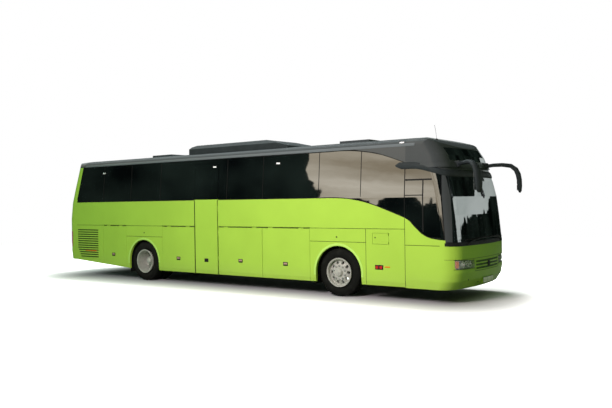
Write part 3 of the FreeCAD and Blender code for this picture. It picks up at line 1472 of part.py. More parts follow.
def fuel_flap():
    """Small flap over the filler neck, hinged at its front edge."""
    gap = "shut_gap / 2"
    y = ("0 - half_width", "0 - (half_width - fuel_flap_thick)")
    leaf = box("fuel_leaf", (f"{along('fuel_rear_at')} + {gap}", f"{along('fuel_front_at')} - flap_gap"), y,
               (f"fuel_low_z + {gap}", f"fuel_top_z - {gap}"))
    centre = (f"{along('fuel_front_at')} - hinge_drop", "0 - (half_width - hinge_in)")
    depth = ("0 - half_width", "0 - (half_width - 2 * hinge_in)")
    front = along("fuel_front_at")
    fixed_span = ((f"{front} - hinge_drop - hinge_in", f"{front} + 5"), depth)
    leaf_span = ((f"{front} - flap_gap - 5", f"{front} - hinge_drop + hinge_in"), depth)
    fixed, knuckle_leaf = hinge("fuel_hinge", "z", centre, "fuel_low_z + 45", fixed_span, leaf_span)
    node("fuel_flap", fuse("fuel_flap_fused", leaf, knuckle_leaf))
    pocket = box("fuel_pocket", (along("fuel_rear_at"), along("fuel_front_at")),
                 ("0 - half_width - 50", "0 - (half_width - wall + 10)"), ("fuel_low_z", "fuel_top_z"))
    neck = rod("filler_cap", "y", (f"{along('fuel_rear_at')} + 150", "(fuel_low_z + fuel_top_z) / 2"), "55",
               "0 - (half_width - fuel_flap_thick - 8)", "0 - (half_width - wall)")
    return pocket, fixed + [neck]


def seats():
    """Rows of double passenger seats on both sides of the aisle."""
    rows = []
    for index in range(SIZES["seat_rows"]):
        start = f"{along('seat_first_at')} + {index} * seat_pitch"
        floor = "saloon_floor_z"
        points = [
            (f"{start} + 150", floor),
            (f"{start} + seat_depth - 120", floor),
            (f"{start} + seat_depth - 120", f"{floor} + seat_cushion_z - seat_cushion_thick"),
            (f"{start} + seat_depth", f"{floor} + seat_cushion_z - seat_cushion_thick + 20"),
            (f"{start} + seat_depth", f"{floor} + seat_cushion_z"),
            (f"{start} + seat_back_thick", f"{floor} + seat_cushion_z - 20"),
            (f"{start} + seat_back_thick - seat_lean", f"{floor} + seat_back_z"),
            (f"{start} - seat_lean", f"{floor} + seat_back_z - 15"),
            (start, f"{floor} + seat_cushion_z - seat_cushion_thick"),
            (f"{start} + 150", f"{floor} + seat_cushion_z - seat_cushion_thick"),
        ]
        for side_index, side in enumerate((RIGHT, LEFT)):
            if side == RIGHT and index in SEATS_OVER_WELL:
                continue
            span = across(side, "seat_in_y", "seat_out_y")
            rows.append(prism(f"seat_{index}_{side_index}", "xz", points, *span))
    start = along("driver_seat_at")
    rows.append(prism("driver_seat", "xz", [
        (f"{start} + 110", "cab_floor_z"),
        (f"{start} + 430", "cab_floor_z"),
        (f"{start} + 430", "cab_floor_z + 300"),
        (f"{start} + 520", "cab_floor_z + 330"),
        (f"{start} + 520", "cab_floor_z + 440"),
        (f"{start} + 130", "cab_floor_z + 420"),
        (f"{start} + 20", "cab_floor_z + 1180"),
        (f"{start} - 90", "cab_floor_z + 1160"),
        (start, "cab_floor_z + 330"),
        (f"{start} + 110", "cab_floor_z + 300"),
    ], "driver_y - 250", "driver_y + 250"))
    node("seats", gather("seat_rows", *rows))


def racks():
    """Overhead luggage racks along both side walls."""
    x = (f"{along('tail_joint_top_at')} + 60", along("pillar_at"))
    low = []
    for index, side in enumerate((RIGHT, LEFT)):
        points = [
            (f"{side} * rack_in_y", "rack_low_z + 40"),
            (f"{side} * rack_in_y", "rack_top_z"),
            (f"{side} * (rack_in_y + 25)", "rack_top_z"),
            (f"{side} * (rack_in_y + 25)", "rack_low_z + 60"),
            (f"{side} * (half_width - wall - skin_lean * (rack_low_z + 60 - lean_z))", "rack_low_z + 60"),
            (f"{side} * (half_width - wall - skin_lean * (rack_low_z - lean_z))", "rack_low_z"),
            (f"{side} * (rack_in_y + 60)", "rack_low_z"),
        ]
        low.append(prism(f"rack_{index}", "yz", points, *x))
    node("luggage_racks", gather("luggage_rack_pair", *low))


def cab(ends):
    """Dashboard with its binnacle, the steering wheel and the driver's seat."""
    profile = prism("dash_profile", "xz", [
        (along("dash_rear_at"), "cab_floor_z + 250"),
        (along("dash_rear_at"), "dash_z - 130"),
        (f"{along('dash_rear_at')} + 90", "dash_z"),
        ("nose_x", "dash_z - 60"),
        ("nose_x", "cab_floor_z"),
        (f"{along('dash_rear_at')} + 220", "cab_floor_z"),
    ], "0 - half_width", "entry_in_y - 60")
    dash = node("dashboard", shared("dash_cut", profile, ends["front", "core"]))
    column = rod("steering_column", "x", ("driver_y", "0"), "30", "0", "wheel_column")
    centre = ("driver_y", "0")
    rim = rod("steering_rim_outer", "x", centre, "wheel_rim_radius", "wheel_column - 28", "wheel_column")
    hollow = rod("steering_rim_inner", "x", centre, "wheel_rim_radius - 30", "0", "wheel_column + 10")
    spoke = box("steering_spoke", ("wheel_column - 22", "wheel_column - 6"),
                ("driver_y - wheel_rim_radius + 10", "driver_y + wheel_rim_radius - 10"), ("0 - 26", "26"))
    hand_wheel = fuse("steering_wheel_solid", cut("steering_rim", rim, hollow), spoke, column)
    hand_wheel.Placement.Rotation = Rotation(Vector(0, 1, 0), -125)
    bind(hand_wheel, Placement__Base__x=f"{along('dash_rear_at')} + 100", Placement__Base__z="dash_z - 90")
    node("steering_wheel", cut("steering_wheel_cut", hand_wheel, dash))


def mirrors(ends):
    """Both outside mirrors, each an arm and a drooping head in one piece."""
    pair = []
    for side in (RIGHT, LEFT):
        word = "right" if side == RIGHT else "left"
        plan = prism(f"mirror_plan_{word}", "xy", [
            ("nose_x - mirror_root_back", f"{side} * (mirror_root_y - 45)"),
            ("nose_x - mirror_root_back", f"{side} * (mirror_root_y + 45)"),
            ("nose_x + 60", f"{side} * (mirror_root_y + 130)", "arc"),
            ("nose_x + mirror_reach - mirror_depth", f"{side} * (mirror_tip_y + mirror_width / 2)"),
            ("nose_x + mirror_reach - 30", f"{side} * (mirror_tip_y + mirror_width / 2)"),
            ("nose_x + mirror_reach", f"{side} * mirror_tip_y", "arc"),
            ("nose_x + mirror_reach - 30", f"{side} * (mirror_tip_y - mirror_width / 2)"),
            ("nose_x + mirror_reach - mirror_depth", f"{side} * (mirror_tip_y - mirror_width / 2)"),
        ], "mirror_tip_z", "mirror_root_z + 100")
        side_view = prism(f"mirror_side_{word}", "xz", [
            ("nose_x - mirror_root_back", "mirror_root_z - mirror_arm_radius"),
            ("nose_x - mirror_root_back", "mirror_root_z + mirror_arm_radius"),
            ("nose_x + mirror_reach - mirror_depth", "mirror_root_z + mirror_arm_radius / 2"),
            ("nose_x + mirror_reach - 35", "mirror_head_top_z + 30", "arc"),
            ("nose_x + mirror_reach", "mirror_tip_z + 180"),
            ("nose_x + mirror_reach - 20", "mirror_tip_z"),
            ("nose_x + mirror_reach - mirror_depth / 2", "mirror_tip_z - 14", "arc"),
            ("nose_x + mirror_reach - mirror_depth + 10", "mirror_tip_z"),
            ("nose_x + mirror_reach - mirror_depth - 10", "mirror_tip_z + 220"),
            ("nose_x + mirror_reach - mirror_depth - 30", "mirror_head_top_z - 110", "arc"),
            ("nose_x + mirror_reach - mirror_depth - 110", "mirror_root_z - mirror_arm_radius"),
        ], "0 - half_width - 100", "half_width + 100")
        pair.append(cut(f"mirror_{word}", shared(f"mirror_{word}_solid", plan, side_view),
                        ends["front", "skin"], ends["front", "ledge"]))
    node("mirrors", gather("mirror_pair", *pair))


def engine():
    """Engine at the tail, as one plain block of its real place and size, hung between the rails."""
    half = "rail_y - rail_width / 2 - engine_side_gap"
    node("engine", box("engine_block", (along("engine_rear_at"), along("engine_front_at")),
                       (f"0 - ({half})", half), ("engine_low_z", "engine_top_z")))


POSTS = ("300", "1874", "2673", "4050", "5600")
SEATS_OVER_WELL = (5, 6)


def coach():
    """Build every sub-part of the coach."""
    ends = body_ends()
    ends["front", "ledge"] = brow_ledge(ends)
    nose = shell("nose_shell", ends, "front")
    regions = {"tail": tail_region(), "skirt": skirt_rise(), "cab": through("cab_side", cab_side_points())}
    regions["cab_wall"] = shared("cab_walls", nose, regions["cab"])
    front_panels(ends, nose, regions)
    rear_panels(ends, regions)
    roof_panel(regions)
    roof_hatch("roof_hatch_rear", "hatch_rear_at")
    roof_hatch("roof_hatch_front", "hatch_front_at")
    air_conditioner()

    right_hinges, left_hinges = mid_door(), []
    pocket, fuel_pieces = fuel_flap()
    right_hinges += fuel_pieces
    right_flaps = (
        ("service_flap_right", "service_rear_at", "service_front_at"),
        ("hold_flap_right_1", "hold_flap_rear_at", "mid_door_rear_at"),
        ("hold_flap_right_2", "mid_door_front_at", "hold_flap_mid_at"),
        ("hold_flap_right_3", "hold_flap_mid_at", "hold_flap_front_at"),
    )
    left_flaps = (
        ("service_flap_left", "service_rear_at", "service_front_at"),
        ("hold_flap_left_1", "hold_flap_rear_at", "left_flap_2_at"),
        ("hold_flap_left_2", "left_flap_2_at", "left_flap_3_at"),
        ("hold_flap_left_3", "left_flap_3_at", "hold_flap_front_at"),
    )
    for side, flaps, hinges in ((RIGHT, right_flaps, right_hinges), (LEFT, left_flaps, left_hinges)):
        for name, rear, front in flaps:
            skirt_cut = regions["skirt"] if name.startswith("service") else None
            hinges += side_flap(name, side, rear, front, skirt_cut)[1]

    nose_layer = cut("cab_glass_layer", ends["front", "skin"], ends["front", "pane"])
    cab_glass = shared("cab_glass", nose_layer, through("cab_outline", cab_window_points("0"), RIGHT))
    cab_hole = through("cab_hole", cab_window_points("glass_lap"), RIGHT)
    mid_hole = side_hole("mid_door_way", RIGHT, "mid_door_rear_at", "mid_door_front_at", "skirt_z - 50",
                         "mid_door_top_z")
    right, right_glass = side_wall(RIGHT, regions, ("hold_flap_rear_at", "hold_flap_front_at"),
                                   [cab_glass, cab_hole, mid_hole, pocket, *header_joints()], right_hinges)
    glass = cut("right_glass_cut", right_glass, mid_hole)
    node("side_wall_right", right)
    front_hole = through("front_door_way", door_outline("0"), LEFT)
    left, left_glass = side_wall(LEFT, regions, ("hold_flap_rear_at", "hold_flap_front_at"),
                                 [front_hole], left_hinges)
    node("side_wall_left", left)
    node("side_glass", gather("side_panes", glass, cab_glass, left_glass))

    air_grilles()
    front_door(ends, nose)
    for side in (RIGHT, LEFT):
        wheels(side)
        knuckle(side)
    front_axle()
    rear_axle()
    track_rod()
    wheel_housings()
    frames()
    hold()
    floors(ends)
    seats()
    racks()
    cab(ends)
    mirrors(ends)
    engine()


def export():
    """Check the whole document, then write one file per sub-part."""
    for thing in doc.Objects:
        if "Invalid" in thing.State or "Error" in thing.State:
            raise RuntimeError(f"{thing.Name} did not rebuild: {thing.State}")
    for solid in NODES:
        if solid.Shape.isNull() or not solid.Shape.isValid():
            raise RuntimeError(f"{solid.Label} has no valid shape")
        solid.Shape.exportStep(f"parts/{solid.Label}.step")


coach()
doc.recompute()
export()
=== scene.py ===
"""Looks of a twelve metre touring coach, built round its packed construction model."""

import json
import logging
import math
from dataclasses import dataclass, field
from enum import Enum
from functools import partial
from typing import Callable, Sequence

import bmesh
import bpy
from mathutils import Matrix, Vector
from mathutils.geometry import interpolate_bezier

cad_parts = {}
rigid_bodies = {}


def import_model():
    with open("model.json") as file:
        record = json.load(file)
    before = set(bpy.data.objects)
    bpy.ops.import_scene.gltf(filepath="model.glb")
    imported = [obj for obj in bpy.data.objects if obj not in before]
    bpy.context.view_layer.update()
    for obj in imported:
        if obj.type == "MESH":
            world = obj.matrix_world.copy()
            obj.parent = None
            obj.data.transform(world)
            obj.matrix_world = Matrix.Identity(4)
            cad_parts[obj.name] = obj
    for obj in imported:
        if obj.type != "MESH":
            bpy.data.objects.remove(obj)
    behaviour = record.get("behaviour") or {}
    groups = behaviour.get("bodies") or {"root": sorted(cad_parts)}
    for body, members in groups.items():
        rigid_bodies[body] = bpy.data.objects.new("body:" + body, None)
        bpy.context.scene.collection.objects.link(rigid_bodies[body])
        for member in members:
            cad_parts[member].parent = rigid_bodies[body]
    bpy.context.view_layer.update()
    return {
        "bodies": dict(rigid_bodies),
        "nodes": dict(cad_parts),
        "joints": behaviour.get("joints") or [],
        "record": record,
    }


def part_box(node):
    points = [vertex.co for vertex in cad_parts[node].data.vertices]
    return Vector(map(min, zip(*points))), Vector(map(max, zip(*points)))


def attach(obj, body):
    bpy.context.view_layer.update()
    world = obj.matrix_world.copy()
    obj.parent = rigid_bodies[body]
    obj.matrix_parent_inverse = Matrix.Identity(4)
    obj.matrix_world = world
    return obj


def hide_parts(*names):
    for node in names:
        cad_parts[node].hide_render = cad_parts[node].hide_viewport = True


LOG = logging.getLogger("coach")
PREFIX = "finish_"
DUST_TOP = 0.62
WHITE = (1.0, 1.0, 1.0, 1.0)
ROAD_DUST = "8A8672"
CAB_START = 4.7
PRINT_FADE = 0.05
CURVE_START = 3.0
SEAT_RAKE = -11.5
ORIGIN = (0.0, 0.0, 0.0)

Pair = tuple[float, float]
Point = tuple[float, float, float]
Colour = tuple[float, float, float, float]
Socket = bpy.types.NodeSocket
Spot = Sequence[float]


class Side(Enum):
    """Side of the coach, as the sign of its Y direction."""

    RIGHT = -1
    LEFT = 1

    @property
    def word(self) -> str:
        """Name of the side in piece names."""
        return self.name.lower()


class Axis(Enum):
    """Direction in which a turned or pushed shape points."""

    X = (1.0, 0.0, 0.0)
    Y = (0.0, 1.0, 0.0)
    Z = (0.0, 0.0, 1.0)

    @property
    def frame(self) -> Matrix:
        """Turn that takes the Z direction to this one."""
        return Vector((0, 0, 1)).rotation_difference(Vector(self.value)).to_matrix().to_4x4()


def colour(code: str) -> Colour:
    """Linear colour of a hexadecimal screen colour.

    Args:
        code: Six hexadecimal digits.

    Returns:
        Red, green, blue and an alpha of one.
    """
    parts = [int(code[i : i + 2], 16) / 255 for i in (0, 2, 4)]
    linear = [p / 12.92 if p <= 0.04045 else ((p + 0.055) / 1.055) ** 2.4 for p in parts]
    return (linear[0], linear[1], linear[2], 1.0)


def shaded(base: Colour, factor: float) -> Colour:
    """A colour made lighter or darker by a factor."""
    red, green, blue = (min(1.0, part * factor) for part in base[:3])
    return (red, green, blue, 1.0)


def spread(half: float, count: int) -> list[float]:
    """Even places from one side of the centre plane to the other.

    Args:
        half: Distance of the last place from the middle.
        count: Steps between the first place and the last.

    Returns:
        The places.
    """
    return [half * (2 * index / count - 1) for index in range(count + 1)]


def line_height(points: Sequence[Pair], x: float) -> float:
    """Height of a drawn line at a place.

    Args:
        points: Points of the line in rising order.
        x: Place along the line.

    Returns:
        The height, level past both ends.
    """
    if x <= points[0][0]:
        return points[0][1]
    for (near, low), (far, high) in zip(points, points[1:]):
        if x <= far:
            return low + (high - low) * (x - near) / (far - near)
    return points[-1][1]


# Measures of the body that several sub-assemblies share, in metres


@dataclass(frozen=True)
class BodyLines:
    """Main lines of the coach body in the construction frame."""

    rear_axle: float = -2.9475
    front_axle: float = 3.1325
    axle_height: float = 0.505
    nose: float = 5.8975
    tail: float = -6.2425
    half_width: float = 1.275
    cant_half: float = 1.19
    lean_start: float = 2.05
    cant: float = 3.06
    skirt: float = 0.293
    belt: float = 1.43
    sill: float = 0.38
    tuck: float = 0.014

    def half_at(self, height: float) -> float:
        """Half width of the side wall at a height.

        Args:
            height: Height above the ground.

        Returns:
            Distance of the outer skin from the centre plane.
        """
        if height <= self.sill:
            drop = self.sill - max(height, self.skirt)
            return self.half_width - self.tuck * drop / (self.sill - self.skirt)
        lean = (self.half_width - self.cant_half) / (self.cant - self.lean_start)
        return self.half_width - lean * max(0.0, height - self.lean_start)

    def wall_point(self, side: Side, x: float, height: float, proud: float = 0.0) -> Vector:
        """Point on the skin of a side wall, moved outwards by a small amount."""
        return Vector((x, side.value * (self.half_at(height) + proud), height))


@dataclass(frozen=True)
class SweptEnd:
    """Swept end of the body: a shallow arc across the face with a tighter arc round each corner."""

    corner: float
    bulge: float
    sweep: float
    stations: tuple[Pair, ...]
    lines: BodyLines = BodyLines()

    def plan(self, height: float) -> Point:
        """Plan of the end at a height.

        Args:
            height: Height above the ground.

        Returns:
            Half width of the body, half width of the face and radius of the face.
        """
        half = self.lines.half_at(height)
        inner = half - self.corner * (1 - math.cos(self.sweep))
        return half, inner, (inner**2 + self.bulge**2) / (2 * self.bulge)


class NoseShape(SweptEnd):
    """Front of the body. Its stations say how far it lies behind the nose at each height."""

    def lap(self, reach: float, height: float, proud: float = 0.0) -> Vector:
        """Point reached by walking round the front from its middle.

        Args:
            reach: Distance walked along the skin, positive towards the left side.
            height: Height above the ground.
            proud: How far the point stands off the skin.

        Returns:
            Position in the construction frame.
        """
        half, inner, radius = self.plan(height)
        tip = self.lines.nose - line_height(self.stations, height)
        face = radius * math.asin(inner / radius)
        start = tip - self.bulge - self.corner * math.sin(self.sweep)
        walked = abs(reach)
        side = math.copysign(1.0, reach)
        if walked <= face:
            angle = walked / radius
            place = Vector((tip - radius + radius * math.cos(angle), side * radius * math.sin(angle), height))
            normal = Vector((math.cos(angle), side * math.sin(angle), 0.0))
        elif walked <= face + self.corner * self.sweep:
            angle = self.sweep - (walked - face) / self.corner
            y = half - self.corner * (1 - math.cos(angle))
            place = Vector((start + self.corner * math.sin(angle), side * y, height))
            normal = Vector((math.sin(angle), side * math.cos(angle), 0.0))
        else:
            place = Vector((start - (walked - face - self.corner * self.sweep), side * half, height))
            normal = Vector((0.0, side, 0.0))
        return place + normal * proud


class TailShape(SweptEnd):
    """Rear of the body. Its stations say how far it lies ahead of the tail at each height."""

    def point(self, y: float, height: float, proud: float = 0.0) -> Vector:
        """Point of the rear face, between its two round corners.

        Args:
            y: Distance to the left of the centre plane.
            height: Height above the ground.
            proud: How far the point stands behind the skin.

        Returns:
            Position in the construction frame.
        """
        _, inner, radius = self.plan(height)
        ahead = line_height(self.stations, height)
        x = self.lines.tail + ahead + radius - math.sqrt(radius**2 - min(abs(y), inner) ** 2)
        normal = Vector((-math.sqrt(radius**2 - y**2), y, 0.0)).normalized()
        return Vector((x, y, height)) + normal * proud


LINES = BodyLines()
NOSE = NoseShape(0.33, 0.098, math.radians(79), (
    (0.28, 0.131), (0.44, 0.033), (0.6, 0.0), (1.11, 0.0), (1.7, 0.06),
    (2.05, 0.105), (2.36, 0.175), (2.86, 0.34), (3.33, 0.64),
))
TAIL = TailShape(0.19, 0.07, math.radians(82), (
    (0.455, 0.02), (0.7, 0.0), (1.6, 0.0), (2.05, 0.07), (2.43, 0.16), (3.33, 0.4),
))

# Foot of the window band and foot of the grey canopy on both sides, as pairs of x and height
WINDOW_LINE = (
    (2.9, 2.066), (3.2075, 2.057), (3.5045, 2.028), (3.7935, 1.971), (4.0775, 1.887),
    (4.3525, 1.787), (4.6985, 1.657), (4.8045, 1.597), (4.9195, 1.491), (5.0475, 1.365),
    (5.1735, 1.291), (5.2995, 1.253), (5.4865, 1.228), (5.7, 1.222),
)
CANOPY_LINE = (
    (2.9, 3.066), (3.3775, 3.066), (3.6915, 3.018), (4.0515, 2.954),
    (4.3995, 2.846), (4.7135, 2.732), (5.0335, 2.613), (5.7, 2.59),
)


# Materials


class Tree:
    """Node tree under construction, read from one set of coordinates."""

    def __init__(self, tree: bpy.types.NodeTree, coordinates: str) -> None:
        """Starts with a coordinate node and its mapping.

        Args:
            tree: The tree.
            coordinates: Name of the coordinate output.
        """
        self.tree = tree
        source = self.add("ShaderNodeTexCoord")
        self.mapping = self.add("ShaderNodeMapping")
        self.link(source.outputs[coordinates], self.mapping.inputs["Vector"])

    def add(self, kind: str) -> bpy.types.Node:
        """Adds a node of a kind."""
        return self.tree.nodes.new(kind)

    def link(self, start: Socket, end: Socket) -> None:
        """Joins two sockets."""
        self.tree.links.new(start, end)

    def noise(self, scale: float, detail: float = 4.0, stretch: Point | None = None) -> Socket:
        """Fractal noise over the surface.

        Args:
            scale: Scale of the noise.
            detail: Octaves of the noise.
            stretch: Scale of the coordinates along each axis, if it isn't even.

        Returns:
            The noise's factor.
        """
        noise = self.add("ShaderNodeTexNoise")
        noise.inputs["Scale"].default_value = scale
        noise.inputs["Detail"].default_value = detail
        start = self.mapping.outputs["Vector"]
        if stretch:
            spread = self.add("ShaderNodeMapping")
            spread.inputs["Scale"].default_value = stretch
            self.link(start, spread.inputs["Vector"])
            start = spread.outputs["Vector"]
        self.link(start, noise.inputs["Vector"])
        return noise.outputs["Fac"]

    def ramp(self, factor: Socket, stops: Sequence[tuple[float, Colour]]) -> Socket:
        """Colour ramp over a factor.

        Args:
            factor: Socket that drives the ramp.
            stops: Positions and colours of the ramp.

        Returns:
            The ramp's colour.
        """
        ramp = self.add("ShaderNodeValToRGB")
        elements = ramp.color_ramp.elements
        for index, (position, shade) in enumerate(stops):
            element = elements[index] if index < 2 else elements.new(position)
            element.position = position
            element.color = shade
        self.link(factor, ramp.inputs["Fac"])
        return ramp.outputs["Color"]

    def math(self, operation: str, *values: "Socket | float") -> Socket:
        """Arithmetic on sockets and numbers.

        Args:
            operation: Name of the operation.
            values: Its operands in order.

        Returns:
            The result.
        """
        node = self.add("ShaderNodeMath")
        node.operation = operation
        for place, value in zip(node.inputs, values):
            if isinstance(value, (int, float)):
                place.default_value = value
            else:
                self.link(value, place)
        return node.outputs["Value"]

    def axes(self, start: Socket | None = None) -> Sequence[Socket]:
        """The three coordinates of the surface, or of a given vector.

        Args:
            start: Vector to split, or nothing for the surface itself.

        Returns:
            X, Y and Z.
        """
        split = self.add("ShaderNodeSeparateXYZ")
        self.link(start or self.mapping.outputs["Vector"], split.inputs["Vector"])
        return [split.outputs[name] for name in "XYZ"]

    def line(self, place: Socket, points: Sequence[Pair]) -> Socket:
        """Height of a curved line over a place along the coach.

        Args:
            place: Coordinate along the line.
            points: Points of the line, place first, in rising order.

        Returns:
            The height, which stays level past both ends.
        """
        low, high = points[0][0], points[-1][0]
        floor = min(height for _, height in points)
        span = max(height for _, height in points) - floor
        share = self.math("DIVIDE", self.math("SUBTRACT", place, low), high - low)
        curve = self.add("ShaderNodeFloatCurve")
        track = curve.mapping.curves[0]
        for index, (x, height) in enumerate(points):
            spot = ((x - low) / (high - low), (height - floor) / span)
            if 0 < index < len(points) - 1:
                track.points.new(*spot)
            else:
                track.points[0 if index == 0 else -1].location = spot
        for point in track.points:
            point.handle_type = "AUTO"
        curve.mapping.update()
        self.link(share, curve.inputs["Value"])
        return self.math("MULTIPLY_ADD", curve.outputs["Value"], span, floor)

    def mix(self, factor: Socket, low: "Socket | Colour", high: "Socket | Colour") -> Socket:
        """Mix of two colours.

        Args:
            factor: Share of the second colour.
            low: First colour.
            high: Second colour.

        Returns:
            The mixed colour.
        """
        node = self.add("ShaderNodeMix")
        node.data_type = "RGBA"
        self.link(factor, node.inputs[0])
        for place, value in ((node.inputs[6], low), (node.inputs[7], high)):
            if isinstance(value, tuple):
                place.default_value = value
            else:
                self.link(value, place)
        return node.outputs[2]


class Graph(Tree):
    """Node graph of one material, read from object coordinates."""

    def __init__(self, name: str) -> None:
        """Starts a material.

        Args:
            name: Name of the material.
        """
        self.material = bpy.data.materials.new(PREFIX + name)
        self.material.use_nodes = True
        super().__init__(self.material.node_tree, "Object")
        self.shader = self.tree.nodes["Principled BSDF"]

    def constants(self, **values: float | Colour) -> None:
        """Sets the shader's own sockets.

        Args:
            values: Socket names with underscores for spaces, and their values.
        """
        for name, value in values.items():
            self.shader.inputs[name.replace("_", " ")].default_value = value

    def base(self, shade: Socket) -> None:
        """Sets the base colour from a socket."""
        self.link(shade, self.shader.inputs["Base Color"])

    def toned(self, factor: Socket, base: Colour, *tones: Pair) -> Socket:
        """Base colour that runs through darker and lighter tones.

        Args:
            factor: Socket that drives the tones.
            base: The colour.
            tones: Position of each tone and its factor, in rising order.

        Returns:
            The toned colour.
        """
        return self.ramp(factor, [(position, shaded(base, tone)) for position, tone in tones])

    def dusty(self, shade: Socket, height: Socket, top: float) -> Socket:
        """Lays road dust over a colour, thicker towards the ground.

        Args:
            shade: The clean colour.
            height: Height above the ground.
            top: Height where the dust ends.

        Returns:
            The dusty colour.
        """
        low = self.math("MULTIPLY", self.math("SUBTRACT", top, height), 0.5)
        dust = self.math("MULTIPLY", self.math("MAXIMUM", low, 0.0), self.noise(9.0, 6.0))
        return self.mix(dust, shade, colour(ROAD_DUST))

    def bump(self, height: Socket, distance: float, strength: float = 1.0) -> None:
        """Adds relief from a height socket, over any relief that is there already.

        Args:
            height: Height of the surface, from nought to one.
            distance: Real height of the relief in metres.
            strength: Share of the relief that shows.
        """
        relief = self.add("ShaderNodeBump")
        relief.inputs["Distance"].default_value = distance
        relief.inputs["Strength"].default_value = strength
        self.link(height, relief.inputs["Height"])
        normal = self.shader.inputs["Normal"]
        if normal.is_linked:
            self.link(normal.links[0].from_socket, relief.inputs["Normal"])
        self.link(relief.outputs["Normal"], normal)


@dataclass(frozen=True)
class Paint:
    """Two-layer vehicle paint: a coloured base under clear lacquer, dustier towards the skirt."""

    name: str
    base: Colour
    roughness: float = 0.34
    coat: float = 0.7
    dust_top: float = DUST_TOP

    def build(self) -> bpy.types.Material:
        """Makes the material."""
        graph = Graph(self.name)
        body = graph.toned(graph.noise(1.3, 3.0), self.base, (0.3, 0.95), (0.7, 1.04))
        graph.base(graph.dusty(body, graph.axes()[2], self.dust_top))
        graph.constants(Roughness=self.roughness, Specular_IOR_Level=0.3)
        graph.constants(Coat_Weight=self.coat, Coat_Roughness=0.06)
        graph.bump(graph.noise(420.0, 2.0), 0.0004, 0.25)
        graph.bump(graph.noise(0.9, 2.0), 0.004, 0.35)
        return graph.material


@dataclass(frozen=True)
class Livery:
    """Body paint in two tones: lime below the window line, smoked above it, with a grey canopy and lining."""

    name: str
    lime: Colour
    smoked: Colour
    canopy: Colour
    roof: Colour
    lining: Colour
    rear_edge: Point = (-5.79, 2.113, 0.2315)
    roof_start: float = 3.055
    inward: float = -0.3

    def build(self) -> bpy.types.Material:
        """Makes the material."""
        graph = Graph(self.name)
        x, y, z = graph.axes()
        lime = graph.toned(graph.noise(1.3, 3.0), self.lime, (0.3, 0.96), (0.7, 1.03))
        lime = graph.dusty(lime, z, DUST_TOP)
        edge_x, edge_z, slope = self.rear_edge
        edge = graph.math("MULTIPLY_ADD", graph.math("SUBTRACT", z, edge_z), slope, edge_x)
        above = graph.math("GREATER_THAN", z, graph.line(x, WINDOW_LINE))
        dark = graph.math("MULTIPLY", above, graph.math("GREATER_THAN", x, edge))
        hood = graph.math("GREATER_THAN", z, graph.line(x, CANOPY_LINE))
        hood = graph.math("MULTIPLY", hood, graph.math("GREATER_THAN", x, CANOPY_LINE[0][0]))
        shade = graph.mix(dark, lime, self.smoked)
        shade = graph.mix(hood, shade, self.canopy)
        shade = graph.mix(graph.math("GREATER_THAN", z, self.roof_start), shade, self.roof)
        facing = graph.add("ShaderNodeNewGeometry")
        across = graph.axes(facing.outputs["Normal"])[1]
        inner = graph.math("LESS_THAN", graph.math("MULTIPLY", across, y), self.inward)
        graph.base(graph.mix(inner, shade, self.lining))
        graph.constants(Roughness=0.36, Coat_Weight=0.55, Coat_Roughness=0.08, Specular_IOR_Level=0.35)
        graph.bump(graph.noise(420.0, 2.0), 0.0003, 0.2)
        graph.bump(graph.noise(0.9, 2.0), 0.003, 0.3)
        return graph.material


@dataclass(frozen=True)
class Moulding:
    """Moulded plastic or powder-coated metal with a fine grain."""

    name: str
    base: Colour
    roughness: float = 0.5
    grain: float = 260.0
    depth: float = 0.0006

    def build(self) -> bpy.types.Material:
        """Makes the material."""
        graph = Graph(self.name)
        graph.base(graph.toned(graph.noise(6.0, 5.0), self.base, (0.3, 0.82), (0.75, 1.18)))
        patch = graph.math("MULTIPLY_ADD", graph.noise(11.0, 3.0), 0.18, max(0.03, self.roughness - 0.08))
        graph.link(patch, graph.shader.inputs["Roughness"])
        graph.bump(graph.noise(self.grain, 2.0), self.depth, 0.5)
        return graph.material


@dataclass(frozen=True)
class Glass:
    """Window glass, tinted through and partly see-through, with faint waves and a printed black edge."""

    name: str
    tint: Colour
    cover: float
    reflect: float = 0.5
    index: float = 1.5
    cab_cover: float | None = None
    print_low: float = 0.0
    print_high: float = 9.0
    print_side: float = 9.0

    def build(self) -> bpy.types.Material:
        """Makes the material."""
        graph = Graph(self.name)
        x, y, z = graph.axes()
        graph.base(graph.toned(graph.noise(0.8, 2.0), self.tint, (0.35, 0.8), (0.7, 1.25)))
        graph.constants(Roughness=0.02, IOR=self.index, Specular_IOR_Level=self.reflect)
        cover = graph.math("MULTIPLY_ADD", graph.noise(0.6, 1.0), 0.02, self.cover - 0.01)
        if self.cab_cover is not None:
            ahead = graph.math("GREATER_THAN", x, CAB_START)
            cover = graph.math("MULTIPLY_ADD", ahead, self.cab_cover - self.cover, cover)
        pairs = ((self.print_low, z), (z, self.print_high), (graph.math("ABSOLUTE", y), self.print_side))
        for far, near in pairs:
            edge = graph.math("DIVIDE", graph.math("SUBTRACT", far, near), PRINT_FADE)
            cover = graph.math("MAXIMUM", cover, graph.math("MINIMUM", edge, 1.0))
        graph.link(cover, graph.shader.inputs["Alpha"])
        graph.bump(graph.noise(1.6, 2.0), 0.003, 0.3)
        return graph.material


